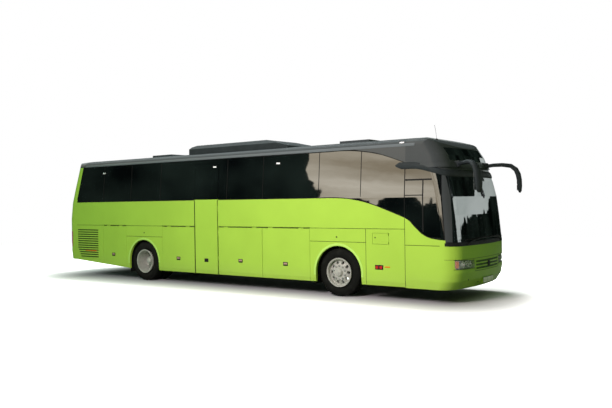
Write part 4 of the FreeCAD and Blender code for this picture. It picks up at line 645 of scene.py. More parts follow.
@dataclass(frozen=True)
class Lens:
    """Ribbed plastic lens of a lamp."""

    name: str
    base: Colour
    cover: float = 1.0
    ribs: float = 60.0
    glow: float = 0.0

    def build(self) -> bpy.types.Material:
        """Makes the material."""
        graph = Graph(self.name)
        wave = graph.add("ShaderNodeTexWave")
        wave.inputs["Scale"].default_value = self.ribs
        graph.link(graph.mapping.outputs["Vector"], wave.inputs["Vector"])
        graph.base(graph.toned(wave.outputs["Fac"], self.base, (0.0, 0.75), (1.0, 1.2)))
        graph.constants(Roughness=0.08, Coat_Weight=0.8, Coat_Roughness=0.03, Alpha=self.cover)
        graph.constants(Emission_Color=self.base, Emission_Strength=self.glow)
        graph.bump(wave.outputs["Fac"], 0.0012, 0.4)
        return graph.material


@dataclass(frozen=True)
class Metal:
    """Bare or silver-painted metal with fine turning marks and stains."""

    name: str
    base: Colour
    roughness: float = 0.3
    metallic: float = 0.85
    stain: float = 0.75

    def build(self) -> bpy.types.Material:
        """Makes the material."""
        graph = Graph(self.name)
        stains = ((0.28, self.stain), (0.5, 1.0), (0.8, 1.1))
        graph.base(graph.toned(graph.noise(14.0, 6.0), self.base, *stains))
        graph.constants(Metallic=self.metallic, Roughness=self.roughness)
        graph.bump(graph.noise(90.0, 3.0), 0.0005, 0.35)
        return graph.material


@dataclass(frozen=True)
class Rubber:
    """Tyre rubber, greyer where dust clings, with faint mould lines."""

    name: str
    base: Colour = (0.007, 0.0075, 0.007, 1.0)

    def build(self) -> bpy.types.Material:
        """Makes the material."""
        graph = Graph(self.name)
        dust = [(0.35, shaded(self.base, 0.7)), (0.6, self.base), (0.85, (0.032, 0.031, 0.028, 1.0))]
        graph.base(graph.ramp(graph.noise(7.0, 7.0), dust))
        graph.constants(Roughness=0.72, Specular_IOR_Level=0.35)
        graph.bump(graph.noise(160.0, 3.0), 0.0008, 0.5)
        return graph.material


@dataclass(frozen=True)
class Cloth:
    """Woven seat cloth with a small two-colour check and soft sheen."""

    name: str
    base: Colour
    thread: Colour

    def build(self) -> bpy.types.Material:
        """Makes the material."""
        graph = Graph(self.name)
        check = graph.add("ShaderNodeTexChecker")
        check.inputs["Scale"].default_value = 55.0
        check.inputs["Color1"].default_value = self.base
        check.inputs["Color2"].default_value = self.thread
        graph.link(graph.mapping.outputs["Vector"], check.inputs["Vector"])
        graph.base(check.outputs["Color"])
        graph.constants(Roughness=0.95, Sheen_Weight=0.5, Sheen_Roughness=0.6)
        graph.bump(graph.noise(700.0, 2.0), 0.0012, 0.6)
        return graph.material


class Finish(Enum):
    """Every finish on the coach. A value is the recipe of its material."""

    LIVERY = Livery(
        "two_tone_paint",
        lime=colour("A0C946"),
        smoked=colour("0A0C0E"),
        canopy=colour("464A4A"),
        roof=colour("3A4042"),
        lining=colour("5F6364"),
    )
    # Paler copy of the body lime: a painted highlight along the wheel-arch lips.
    PALE_LIME = Paint("pale_lime_paint", colour("AEDB63"), coat=0.5)
    SMOKED_PAINT = Paint("smoked_paint", colour("3E4344"), roughness=0.4, coat=0.35, dust_top=0.21)
    ROOF_PAINT = Paint("roof_paint", colour("3A4042"), roughness=0.5, coat=0.2, dust_top=0.21)
    RAIL_SILVER = Paint("rail_silver", colour("5C6466"), roughness=0.45, coat=0.2, dust_top=0.21)
    BLACK_PLASTIC = Moulding("black_plastic", colour("1B1C1D"))
    SHELL_PLASTIC = Moulding("shell_plastic", colour("2A3032"), roughness=0.55)
    # Also used for the painted shade lines across the front.
    SEAL_RUBBER = Moulding("seal_rubber", colour("101112"), roughness=0.6, grain=120.0)
    CHASSIS_COAT = Moulding("chassis_coat", colour("1D1D1E"), roughness=0.65, grain=60.0, depth=0.001)
    CAST_IRON = Moulding("cast_iron", colour("2A2A2A"), roughness=0.6, grain=45.0, depth=0.0015)
    ENGINE_GREY = Moulding("engine_grey", colour("55595A"), roughness=0.55, grain=30.0, depth=0.002)
    FLOOR_GREY = Moulding("floor_grey", colour("4B4C4E"), roughness=0.8, grain=180.0)
    TRIM_GREY = Moulding("trim_grey", colour("74777A"), roughness=0.7, grain=200.0)
    HANDLE_METAL = Moulding("handle_metal", colour("A88C7C"), roughness=0.35, grain=90.0)
    DARK_GLASS = Glass("dark_glass", colour("05080A"), cover=0.97, reflect=1.0, index=2.8, cab_cover=0.9)
    DOOR_GLASS = Glass("door_glass", colour("0B0F11"), cover=0.84, reflect=1.0, index=2.4)
    CLEAR_GLASS = Glass(
        "clear_glass", colour("0A1012"), cover=0.84, reflect=1.0, index=3.0,
        print_low=1.33, print_high=2.44, print_side=1.1,
    )
    MIRROR_GLASS = Metal("mirror_glass", colour("B9C0C4"), roughness=0.03, stain=0.96)
    LAMP_GLASS = Lens("lamp_glass", colour("DDE3E6"), cover=0.22, ribs=8.0)
    RED_LENS = Lens("red_lens", colour("B0201C"))
    ORANGE_LENS = Lens("orange_lens", colour("E0701C"))
    WHITE_LENS = Lens("white_lens", colour("F2F4F4"), glow=0.15)
    WHEEL_SILVER = Metal("wheel_silver", colour("C4C7BE"), roughness=0.4, metallic=0.4)
    CHROME = Metal("chrome", colour("E4E6E8"), roughness=0.08, stain=0.95)
    TYRE = Rubber("tyre_rubber")
    SEAT_CLOTH = Cloth("seat_cloth", colour("23283A"), colour("34406A"))
    MESH = Moulding("black_mesh", colour("0B0C0C"), roughness=0.7, grain=380.0, depth=0.002)
    # Darker copy of the body lime: painted shade on the bars deep in the front grille slots.
    DARK_LIME = Paint("dark_lime_paint", colour("5E8A22"), coat=0.5)
    LAMP_CORE = Lens("lamp_core", colour("E6EBEE"), ribs=14.0)
    PLATE_WHITE = Moulding("plate_white", colour("E9EAE8"), roughness=0.4, grain=80.0, depth=0.0002)

    def material(self) -> bpy.types.Material:
        """The finish's material, made once."""
        return bpy.data.materials.get(PREFIX + self.value.name) or self.value.build()


# Shapes


class Form:
    """A shape under construction, held as a bmesh and shaped by its operators."""

    def __init__(self) -> None:
        """Starts an empty shape."""
        self.bm = bmesh.new()

    @classmethod
    def block(cls, low: Spot, high: Spot, edge: float = 0.0, steps: int = 2) -> "Form":
        """Block between two corners, its edges rounded.

        Args:
            low: Lowest corner.
            high: Highest corner.
            edge: Width of the rounding.
            steps: Segments of the rounding.

        Returns:
            The shape.
        """
        form = cls()
        bmesh.ops.create_cube(form.bm, size=1.0)
        size = [abs(b - a) for a, b in zip(low, high)]
        middle = [(a + b) / 2 for a, b in zip(low, high)]
        bmesh.ops.scale(form.bm, vec=size, verts=form.bm.verts)
        bmesh.ops.translate(form.bm, vec=middle, verts=form.bm.verts)
        return form.rounded(edge, steps) if edge else form

    @classmethod
    def on_wall(cls, side: Side, x: Pair, z: Pair, depth: Pair, edge: float = 0.0, steps: int = 2) -> "Form":
        """Block on the upright part of a side wall.

        Args:
            side: Side of the coach.
            x: Its two ends along the coach.
            z: Heights of its lower and upper face.
            depth: How far its back and its face stand off the skin.
            edge: Width of the rounding.
            steps: Segments of the rounding.

        Returns:
            The shape.
        """
        back, face = (side.value * (LINES.half_width + off) for off in depth)
        return cls.block((x[0], back, z[0]), (x[1], face, z[1]), edge, steps)

    @classmethod
    def drum(
        cls,
        radius: float,
        depth: float,
        centre: Spot,
        axis: Axis,
        sides: int = 32,
        end_radius: float | None = None,
    ) -> "Form":
        """Closed cylinder or cone frustum about a centre.

        Args:
            radius: Radius at the low end of the axis.
            depth: Length along the axis.
            centre: Middle of the shape.
            axis: Direction of the axis.
            sides: Number of sides.
            end_radius: Radius at the high end, if it differs.

        Returns:
            The shape.
        """
        form = cls()
        end = radius if end_radius is None else end_radius
        bmesh.ops.create_cone(
            form.bm, cap_ends=True, segments=sides, radius1=radius, radius2=end, depth=depth,
            matrix=axis.frame,
        )
        return form.moved(centre)

    @classmethod
    def lathe(cls, profile: Sequence[Pair], centre: Spot, axis: Axis, steps: int) -> "Form":
        """Profile of axial place and radius, spun a full turn about an axis.

        Args:
            profile: Pairs of place along the axis and radius.
            centre: Point of the axis where the axial place is nought.
            axis: Direction of the axis.
            steps: Segments of the turn.

        Returns:
            The shape.
        """
        form = cls()
        verts = [form.bm.verts.new((radius, 0.0, place)) for place, radius in profile]
        edges = [form.bm.edges.new(pair) for pair in zip(verts, verts[1:])]
        bmesh.ops.spin(
            form.bm, geom=verts + edges, cent=ORIGIN, axis=Axis.Z.value, angle=math.tau,
            steps=steps, use_merge=True,
        )
        bmesh.ops.remove_doubles(form.bm, verts=form.bm.verts, dist=1e-5)
        bmesh.ops.transform(form.bm, matrix=axis.frame, verts=form.bm.verts)
        bmesh.ops.recalc_face_normals(form.bm, faces=form.bm.faces)
        return form.moved(centre)

    @classmethod
    def tube(cls, path: Sequence[Spot], radius: float | Sequence[float], sides: int) -> "Form":
        """Round bar that follows a path.

        Args:
            path: Points of the centre line.
            radius: Radius all along, or one for each point.
            sides: Sides of the bar.

        Returns:
            The shape, closed at both ends.
        """
        form = cls()
        points = [Vector(point) for point in path]
        radii = [radius] * len(points) if isinstance(radius, (int, float)) else list(radius)
        heading = (points[1] - points[0]).normalized()
        turn = Vector((0, 0, 1)).rotation_difference(heading)
        ring = bmesh.ops.create_circle(form.bm, cap_ends=False, segments=sides, radius=radii[0])["verts"]
        start = Matrix.Translation(points[0]) @ turn.to_matrix().to_4x4()
        bmesh.ops.transform(form.bm, matrix=start, verts=ring)
        bmesh.ops.contextual_create(form.bm, geom=ring)
        edges = list({edge for vert in ring for edge in vert.link_edges})
        for index in range(1, len(points)):
            ahead = points[min(index + 1, len(points) - 1)] - points[index - 1]
            bend = heading.rotation_difference(ahead.normalized())
            heading = ahead.normalized()
            grown = bmesh.ops.extrude_edge_only(form.bm, edges=edges)["geom"]
            ring = [item for item in grown if isinstance(item, bmesh.types.BMVert)]
            fresh = [item for item in grown if isinstance(item, bmesh.types.BMEdge)]
            edges = [edge for edge in fresh if all(vert in ring for vert in edge.verts)]
            scale = Matrix.Scale(radii[index] / radii[index - 1], 4)
            move = Matrix.Translation(points[index]) @ bend.to_matrix().to_4x4() @ scale
            move @= Matrix.Translation(-points[index - 1])
            bmesh.ops.transform(form.bm, matrix=move, verts=ring)
        bmesh.ops.contextual_create(form.bm, geom=ring)
        bmesh.ops.recalc_face_normals(form.bm, faces=form.bm.faces)
        return form

    @classmethod
    def sweep(cls, sections: Sequence[Sequence[Spot]]) -> "Form":
        """Closed outline drawn out through a row of sections.

        Args:
            sections: Sections with the same number of points, each in the same order.

        Returns:
            The shape, closed at both ends.
        """
        form = cls()
        ring = [form.bm.verts.new(point) for point in sections[0]]
        form.bm.faces.new(ring)
        for section in sections[1:]:
            edges = [form.bm.edges.get(pair) for pair in zip(ring, [*ring[1:], ring[0]])]
            grown = bmesh.ops.extrude_edge_only(form.bm, edges=edges)["geom"]
            fresh = {item for item in grown if isinstance(item, bmesh.types.BMVert)}
            ring = [
                next(edge.other_vert(vert) for edge in vert.link_edges if edge.other_vert(vert) in fresh)
                for vert in ring
            ]
            for vert, point in zip(ring, section):
                vert.co = point
        form.bm.faces.new(ring)
        bmesh.ops.recalc_face_normals(form.bm, faces=form.bm.faces)
        return form

    @classmethod
    def ribbon(
        cls,
        skin: Callable[..., Vector],
        edges: Sequence[tuple[Spot, Spot]],
        sunk: float,
        proud: float,
    ) -> "Form":
        """Strip that follows a curved skin.

        Args:
            skin: Point of the skin at two coordinates and a distance off it.
            edges: The two edges of the strip, place by place along it.
            sunk: Depth of its back behind the skin.
            proud: How far its face stands off the skin.

        Returns:
            The strip.
        """
        return cls.sweep(
            [
                [skin(*one, -sunk), skin(*one, proud), skin(*two, proud), skin(*two, -sunk)]
                for one, two in edges
            ]
        )

    @classmethod
    def nose_band(
        cls, reaches: Sequence[float], low: float, high: float, sunk: float, proud: float
    ) -> "Form":
        """Level band that follows the front of the body.

        Args:
            reaches: Places round the front, by distance walked from the middle.
            low: Height of its lower edge.
            high: Height of its upper edge.
            sunk: Depth of its back behind the skin.
            proud: How far its face stands off the skin.

        Returns:
            The shape.
        """
        return cls.ribbon(NOSE.lap, [((reach, low), (reach, high)) for reach in reaches], sunk, proud)

    @classmethod
    def wall_band(
        cls, side: Side, path: Sequence[Pair], width: float, proud: float, sunk: float = 0.002
    ) -> "Form":
        """Flat strip along a line drawn on a side wall.

        Args:
            side: Side of the coach.
            path: Points of the line as pairs of x and height.
            width: Width of the strip.
            proud: How far its face stands off the skin.
            sunk: Depth of its back behind the skin.

        Returns:
            The shape.
        """
        places = [Vector(point) for point in path]
        edges = []
        for index, place in enumerate(places):
            ahead = places[min(index + 1, len(places) - 1)] - places[max(index - 1, 0)]
            out = Vector((-ahead.y, ahead.x)).normalized() * (width / 2)
            edges.append((place - out, place + out))
        return cls.ribbon(partial(LINES.wall_point, side), edges, sunk, proud)

    @classmethod
    def arch(cls, centre: Pair, inner: float, outer: float, depth: Pair, span: Pair) -> "Form":
        """Part of a flat ring in an upright plane along the coach.

        Args:
            centre: Place of its centre along the coach and its height.
            inner: Inner radius.
            outer: Outer radius.
            depth: Y of its back and of its face.
            span: First and last angle in degrees, from straight ahead, upwards.

        Returns:
            The shape, with its face rounded towards the edges.
        """
        back, face = depth
        soft = min(0.006, (outer - inner) / 4)
        step = 4 * math.copysign(0.001, face - back)
        profile = [
            (inner, back), (inner, face - step), (inner + soft, face), (outer - soft, face),
            (outer, face - step), (outer, back),
        ]
        count = max(2, round((span[1] - span[0]) / 6))
        sections = []
        for index in range(count + 1):
            angle = math.radians(span[0] + (span[1] - span[0]) * index / count)
            ahead, up = math.cos(angle), math.sin(angle)
            ring = [(centre[0] + radius * ahead, y, centre[1] + radius * up) for radius, y in profile]
            sections.append(ring)
        return cls.sweep(sections)

    @classmethod
    def pillow(cls, size: Spot, centre: Spot, crown: float, pull: float) -> "Form":
        """Stuffed pad: crowned on its broad faces, with sides that pull in between its corners.

        Args:
            size: Length along each axis. The smallest one is the thickness.
            centre: Middle of the pad.
            crown: How far the middle of a broad face stands out.
            pull: How far the middle of a side is pulled in.

        Returns:
            The pad.
        """
        form = cls.block([-value / 2 for value in size], [value / 2 for value in size])
        bmesh.ops.subdivide_edges(form.bm, edges=form.bm.edges, cuts=3, use_grid_fill=True)
        thin = min(range(3), key=lambda index: size[index])
        one, two = (index for index in range(3) if index != thin)
        rim = 0.55
        for vert in form.bm.verts:
            share = [vert.co[index] / (size[index] / 2) for index in range(3)]
            swell = (1 - share[one] ** 4) * (1 - share[two] ** 4)
            vert.co[thin] *= rim + (1 - rim + 2 * crown / size[thin]) * swell
            vert.co[one] -= math.copysign(pull, share[one]) * abs(share[one]) * (1 - share[two] ** 2)
            vert.co[two] -= math.copysign(pull, share[two]) * abs(share[two]) * (1 - share[one] ** 2)
        return form.moved(centre)

    def rounded(self, width: float, steps: int = 2) -> "Form":
        """Rounds every edge by a width.

        Args:
            width: Width of the rounding.
            steps: Segments of the rounding.

        Returns:
            This shape.
        """
        bmesh.ops.bevel(
            self.bm, geom=list(self.bm.edges), offset=width, offset_type="OFFSET", segments=steps,
            profile=0.5, affect="EDGES", clamp_overlap=True, material=-1,
        )
        return self

    def moved(self, offset: Spot) -> "Form":
        """Moves the shape."""
        bmesh.ops.translate(self.bm, vec=Vector(offset), verts=self.bm.verts)
        return self

    def turned(self, degrees: float, axis: Axis, centre: Spot = ORIGIN) -> "Form":
        """Turns the shape about an axis through a centre.

        Args:
            degrees: Angle of the turn.
            axis: Direction of the axis.
            centre: Point on the axis.

        Returns:
            This shape.
        """
        turn = Matrix.Rotation(math.radians(degrees), 3, Vector(axis.value))
        bmesh.ops.rotate(self.bm, cent=Vector(centre), matrix=turn, verts=self.bm.verts)
        return self

    def in_finish(self, index: int) -> "Form":
        """Gives every face a material index.

        Args:
            index: Place of the finish in the piece's list.

        Returns:
            This shape.
        """
        for face in self.bm.faces:
            face.material_index = index
        return self

    def take(self, *others: "Form") -> "Form":
        """Takes in other shapes, which are spent.

        Args:
            others: The shapes to take in.

        Returns:
            This shape.
        """
        for other in others:
            holder = bpy.data.meshes.new("holder")
            other.bm.to_mesh(holder)
            other.bm.free()
            self.bm.from_mesh(holder)
            bpy.data.meshes.remove(holder)
        return self

    def twin(self) -> "Form":
        """A mirror image of this shape on the other side of the centre plane.

        Returns:
            The mirror image.
        """
        holder = bpy.data.meshes.new("holder")
        self.bm.to_mesh(holder)
        other = Form()
        other.bm.from_mesh(holder)
        bpy.data.meshes.remove(holder)
        bmesh.ops.scale(other.bm, vec=(1.0, -1.0, 1.0), verts=other.bm.verts)
        bmesh.ops.reverse_faces(other.bm, faces=other.bm.faces)
        return other


def smooth_path(points: Sequence[Spot], steps: int = 6) -> list[Vector]:
    """Even curve through a few points.

    Args:
        points: Points that the curve passes through.
        steps: Pieces of the curve between two points.

    Returns:
        Points along the curve.
    """
    places = [Vector(point) for point in points]
    line: list[Vector] = []
    for index in range(len(places) - 1):
        before = places[max(0, index - 1)]
        start, end = places[index], places[index + 1]
        after = places[min(len(places) - 1, index + 2)]
        reach = (end - start).length / 3
        lead = (end - before).normalized() * reach
        trail = (after - start).normalized() * reach
        line += interpolate_bezier(start, start + lead, end - trail, end, steps + 1)[:-1]
    return [*line, places[-1]]


def stepped(points: Sequence[Pair], step: float) -> list[Pair]:
    """Path with extra points on its straight runs, so that a strip on it follows a curved skin.

    Args:
        points: Corners of the path.
        step: Longest distance left between two points.

    Returns:
        The denser path.
    """
    path = [points[0]]
    for (x, z), (next_x, next_z) in zip(points, points[1:]):
        count = max(1, math.ceil(math.hypot(next_x - x, next_z - z) / step))
        for index in range(1, count + 1):
            share = index / count
            path.append((x + (next_x - x) * share, z + (next_z - z) * share))
    return path


def smoothed(points: Sequence[Pair], steps: int) -> list[Pair]:
    """Even curve through points of a drawn line."""
    return [(point.x, point.z) for point in smooth_path([(x, 0.0, z) for x, z in points], steps)]


class Workshop:
    """Turns shapes into pieces that ride on the bodies of the construction model."""

    def __init__(self, frame: dict) -> None:
        """Keeps the frame and reads which body carries each node.
        """
        self.frame = frame
        groups = frame["record"]["behaviour"]["bodies"]
        self.carrier = {node: body for body, nodes in groups.items() for node in nodes}

    def piece(
        self,
        name: str,
        form: Form,
        finishes: Sequence[Finish],
        on: str,
        stands_for: Sequence[str] = (),
        sharp: float = 35.0,
    ) -> bpy.types.Object:
        """Makes an object of a shape and sets it on the body that carries a node.

        Args:
            name: Name of the piece.
            form: Its shape, which is spent.
            finishes: Materials in the order of the shape's indices.
            on: Construction node on whose body it rides.
            stands_for: Construction nodes that it replaces.
            sharp: Angle past which an edge stays sharp, in degrees.

        Returns:
            The new object.
        """
        mesh = bpy.data.meshes.new(name)
        form.bm.to_mesh(mesh)
        form.bm.free()
        mesh.shade_smooth()
        mesh.set_sharp_from_angle(angle=math.radians(sharp))
        for finish in finishes:
            mesh.materials.append(finish.material())
        thing = bpy.data.objects.new(name, mesh)
        bpy.context.scene.collection.objects.link(thing)
        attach(thing, self.carrier[on])
        if stands_for:
            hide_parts(*stands_for)
        LOG.info("%s: %d faces on %s", name, len(mesh.polygons), self.carrier[on])
        return thing

    def dress(self, finish: Finish, *nodes: str) -> None:
        """Gives construction nodes a finish.

        Args:
            finish: The finish.
            nodes: Names of the nodes.
        """
        for node in nodes:
            mesh = self.frame["nodes"][node].data
            mesh.materials.clear()
            mesh.materials.append(finish.material())
            LOG.info("%s: %s", node, finish.name.lower())


# Sub-assemblies


@dataclass
class Coachwork:
    """Painted body panels, under-parts and inner panels kept from the construction model."""

    painted: tuple[str, ...] = (
        "front_mask", "rear_wall", "engine_lid", "side_wall_right", "side_wall_left", "mid_door", "fuel_flap",
        "service_flap_right", "service_flap_left", "front_door", "air_grilles",
    )

    def dress(self, shop: Workshop) -> None:
        """Gives each kept node its finish.

        Args:
            shop: Workshop that holds the nodes.
        """
        shop.dress(Finish.LIVERY, *self.painted)
        for side in Side:
            shop.dress(Finish.LIVERY, *(f"hold_flap_{side.word}_{number}" for number in (1, 2, 3)))
        shop.dress(Finish.SMOKED_PAINT, "front_cap")
        shop.dress(Finish.ROOF_PAINT, "roof", "roof_hatch_rear", "roof_hatch_front")
        shop.dress(Finish.SHELL_PLASTIC, "air_conditioner", "mirrors")
        shop.dress(Finish.DARK_GLASS, "side_glass", "mid_door_glass", "rear_window")
        shop.dress(Finish.DOOR_GLASS, "front_door_glass")
        shop.dress(Finish.CLEAR_GLASS, "windscreen")
        shop.dress(Finish.LAMP_GLASS, "headlamps")
        shop.dress(Finish.RED_LENS, "tail_lamps")
        shop.dress(Finish.CHASSIS_COAT, "chassis_frame", "front_door_arm", "track_rod")
        shop.dress(Finish.CAST_IRON, "front_axle", "rear_axle", "knuckle_right", "knuckle_left")
        shop.dress(Finish.BLACK_PLASTIC, "wheel_housings", "dashboard", "steering_wheel")
        shop.dress(Finish.FLOOR_GREY, "luggage_hold", "saloon_floor", "cab_floor")
        shop.dress(Finish.TRIM_GREY, "luggage_racks")
        shop.dress(Finish.SEAT_CLOTH, "seats")
        shop.dress(Finish.ENGINE_GREY, "engine")
        shop.dress(Finish.WHEEL_SILVER, *(f"front_rim_{side.word}" for side in Side))
        shop.dress(Finish.WHEEL_SILVER, *(f"rear_rims_{side.word}" for side in Side))


@dataclass
class Tyres:
    """Grooved tyres that stand for the plain ones of the construction model."""

    radius: float = 0.505
    width: float = 0.29
    outer: float = 1.23
    spacing: float = 0.335
    bead: float = 0.296
    groove: float = 0.011
    grooves: int = 4
    lugs: int = 60
    shoulder: float = 0.045
    shoulder_radius: float = 0.5015
    steps: int = 96

    def profile(self) -> list[Pair]:
        """Closed half section, from the outer bead across the tread to the inner bead.

        Returns:
            Pairs of axial place and radius.
        """
        half = self.width / 2
        wall = [
            (-half + 0.028, self.bead), (-half + 0.02, self.bead + 0.012), (-half + 0.013, 0.33),
            (-half + 0.01, 0.335), (-half + 0.004, 0.365), (-half, 0.4), (-half + 0.002, 0.432),
            (-half + 0.005, 0.436), (-half + 0.009, 0.458), (-half + 0.018, 0.481),
            (-half + 0.028, 0.4945), (-half + 0.04, 0.4995),
        ]
        tread = [(-half + self.shoulder, self.shoulder_radius)]
        pitch = (self.width - 2 * self.shoulder) / (self.grooves + 1)
        for index in range(self.grooves):
            place = -half + self.shoulder + pitch * (index + 1)
            crown = self.radius - 0.0015 * abs(place) / half
            tread += [
                (place - 0.006, crown), (place - 0.004, crown - self.groove),
                (place + 0.004, crown - self.groove), (place + 0.006, crown),
            ]
        tread.append((half - self.shoulder, self.shoulder_radius))
        far = [(-place, radius) for place, radius in reversed(wall)]
        ring = [*wall, *tread, *far]
        return [*ring, ring[0]]

    def sipes(self, centre: Vector) -> Form:
        """Short lugs round both shoulders of one tyre.

        Args:
            centre: Middle of the tyre.

        Returns:
            The lugs of one tyre.
        """
        lugs = Form()
        for index in range(self.lugs):
            for side in (-1, 1):
                y = side * (self.width / 2 - 0.022)
                lug = Form.block((-0.008, y - 0.013, 0.486), (0.008, y + 0.013, 0.5005))
                lug.turned(side * 24, Axis.X, (0, y, 0.4935))
                lugs.take(lug.turned(index * 360 / self.lugs, Axis.Y))
        return lugs.moved(centre)

    def build(self, shop: Workshop) -> None:
        """Makes the six tyres as four pieces.

        Args:
            shop: Workshop that makes the pieces.
        """
        for side in Side:
            for word, x, count in (("front_tyre", LINES.front_axle, 1), ("rear_tyres", LINES.rear_axle, 2)):
                whole = Form()
                for index in range(count):
                    y = side.value * (self.outer - self.width / 2 - index * self.spacing)
                    centre = Vector((x, y, LINES.axle_height))
                    whole.take(Form.lathe(self.profile(), centre, Axis.Y, self.steps), self.sipes(centre))
                node = f"{word}_{side.word}"
                shop.piece(f"{node}_treaded", whole, [Finish.TYRE], node, (node,), 40.0)


@dataclass
class WheelTrim:
    """Rolled rim edge, ring of wheel nuts and hub cap of each wheel."""

    nuts: int = 10
    nut_ring: float = 0.1425
    nut_radius: float = 0.0165
    washer_radius: float = 0.0165 * 1.35
    outer: float = 1.23
    flange: float = 0.305
    front_seat: float = 0.012
    twin_seat: float = 0.3125

    def edge(self, y: float, side: Side, x: float) -> Form:
        """Rolled edge of the rim over its plain flange.

        Args:
            y: Distance of the flange's face from the centre plane.
            side: Side of the coach.
            x: Place of the axle.

        Returns:
            The edge.
        """
        sign = side.value
        profile = [
            (sign * -0.004, self.flange - 0.004), (sign * 0.002, self.flange + 0.001),
            (sign * 0.006, self.flange - 0.002), (sign * 0.006, self.flange - 0.01),
            (0.0, self.flange - 0.016), (sign * -0.018, self.flange - 0.022),
            (sign * -0.024, self.flange - 0.026), (sign * -0.012, self.flange - 0.027),
        ]
        return Form.lathe([*profile, profile[0]], (x, sign * y, LINES.axle_height), Axis.Y, 72)

    def studs(self, place: float, out: float, side: Side, x: float) -> Form:
        """Ring of nuts on studs, with a washer under each nut.

        Args:
            place: Distance of the seat from the centre plane.
            out: How far the nuts stand out.
            side: Side of the coach.
            x: Place of the axle.

        Returns:
            The nuts of one wheel.
        """
        sign = side.value
        ring = Form()
        for index in range(self.nuts):
            angle = math.tau * (index + 0.5) / self.nuts
            spot = Vector((self.nut_ring * math.cos(angle), 0.0, self.nut_ring * math.sin(angle)))
            middle = sign * (place + out / 2)
            ring.take(
                Form.drum(self.nut_radius, out, (spot.x, middle, spot.z), Axis.Y, 6),
                Form.drum(self.washer_radius, 0.006, (spot.x, sign * (place + 0.003), spot.z), Axis.Y, 16),
                Form.drum(0.008, out + 0.014, (spot.x, middle + sign * 0.007, spot.z), Axis.Y, 10),
            )
        return ring.moved((x, 0.0, LINES.axle_height))

    def hub(self, place: float, radius: float, depth: float, side: Side, x: float) -> Form:
        """Turned hub cap with a stepped face.

        Args:
            place: Distance of its seat from the centre plane.
            radius: Radius at the seat.
            depth: How far it stands out.
            side: Side of the coach.
            x: Place of the axle.

        Returns:
            The cap.
        """
        sign = side.value
        profile = [
            (0.0, 0.001), (0.0, radius), (sign * depth * 0.55, radius * 0.96),
            (sign * depth * 0.8, radius * 0.86), (sign * depth * 0.82, radius * 0.6),
            (sign * depth * 0.95, radius * 0.56), (sign * depth, radius * 0.45), (sign * depth, 0.001),
        ]
        return Form.lathe(profile, (x, sign * place, LINES.axle_height), Axis.Y, 48)

    def build(self, shop: Workshop) -> None:
        """Makes the trim of the four wheel positions.

        Args:
            shop: Workshop that makes the pieces.
        """
        silver, bright = [Finish.WHEEL_SILVER], [Finish.CHROME]
        # End, rim, axle, seat and length of the nuts, seat, radius and depth of the cap
        wheels = (
            ("front", "front_rim", LINES.front_axle, (self.outer - self.front_seat, 0.026),
             (self.outer + 0.012, 0.074, 0.028)),
            ("rear", "rear_rims", LINES.rear_axle, (self.outer - self.twin_seat + 0.014, 0.04),
             (self.outer - 0.12, 0.072, 0.02)),
        )
        for side in Side:
            for end, rim, x, _, _ in wheels:
                edge = self.edge(self.outer + 0.015, side, x)
                shop.piece(f"{end}_rim_edge_{side.word}", edge, silver, f"{rim}_{side.word}")
            for end, rim, x, nuts, cap in wheels:
                node = f"{rim}_{side.word}"
                shop.piece(f"{end}_wheel_nuts_{side.word}", self.studs(*nuts, side, x), bright, node)
                shop.piece(f"{end}_hub_cap_{side.word}", self.hub(*cap, side, x), silver, node)


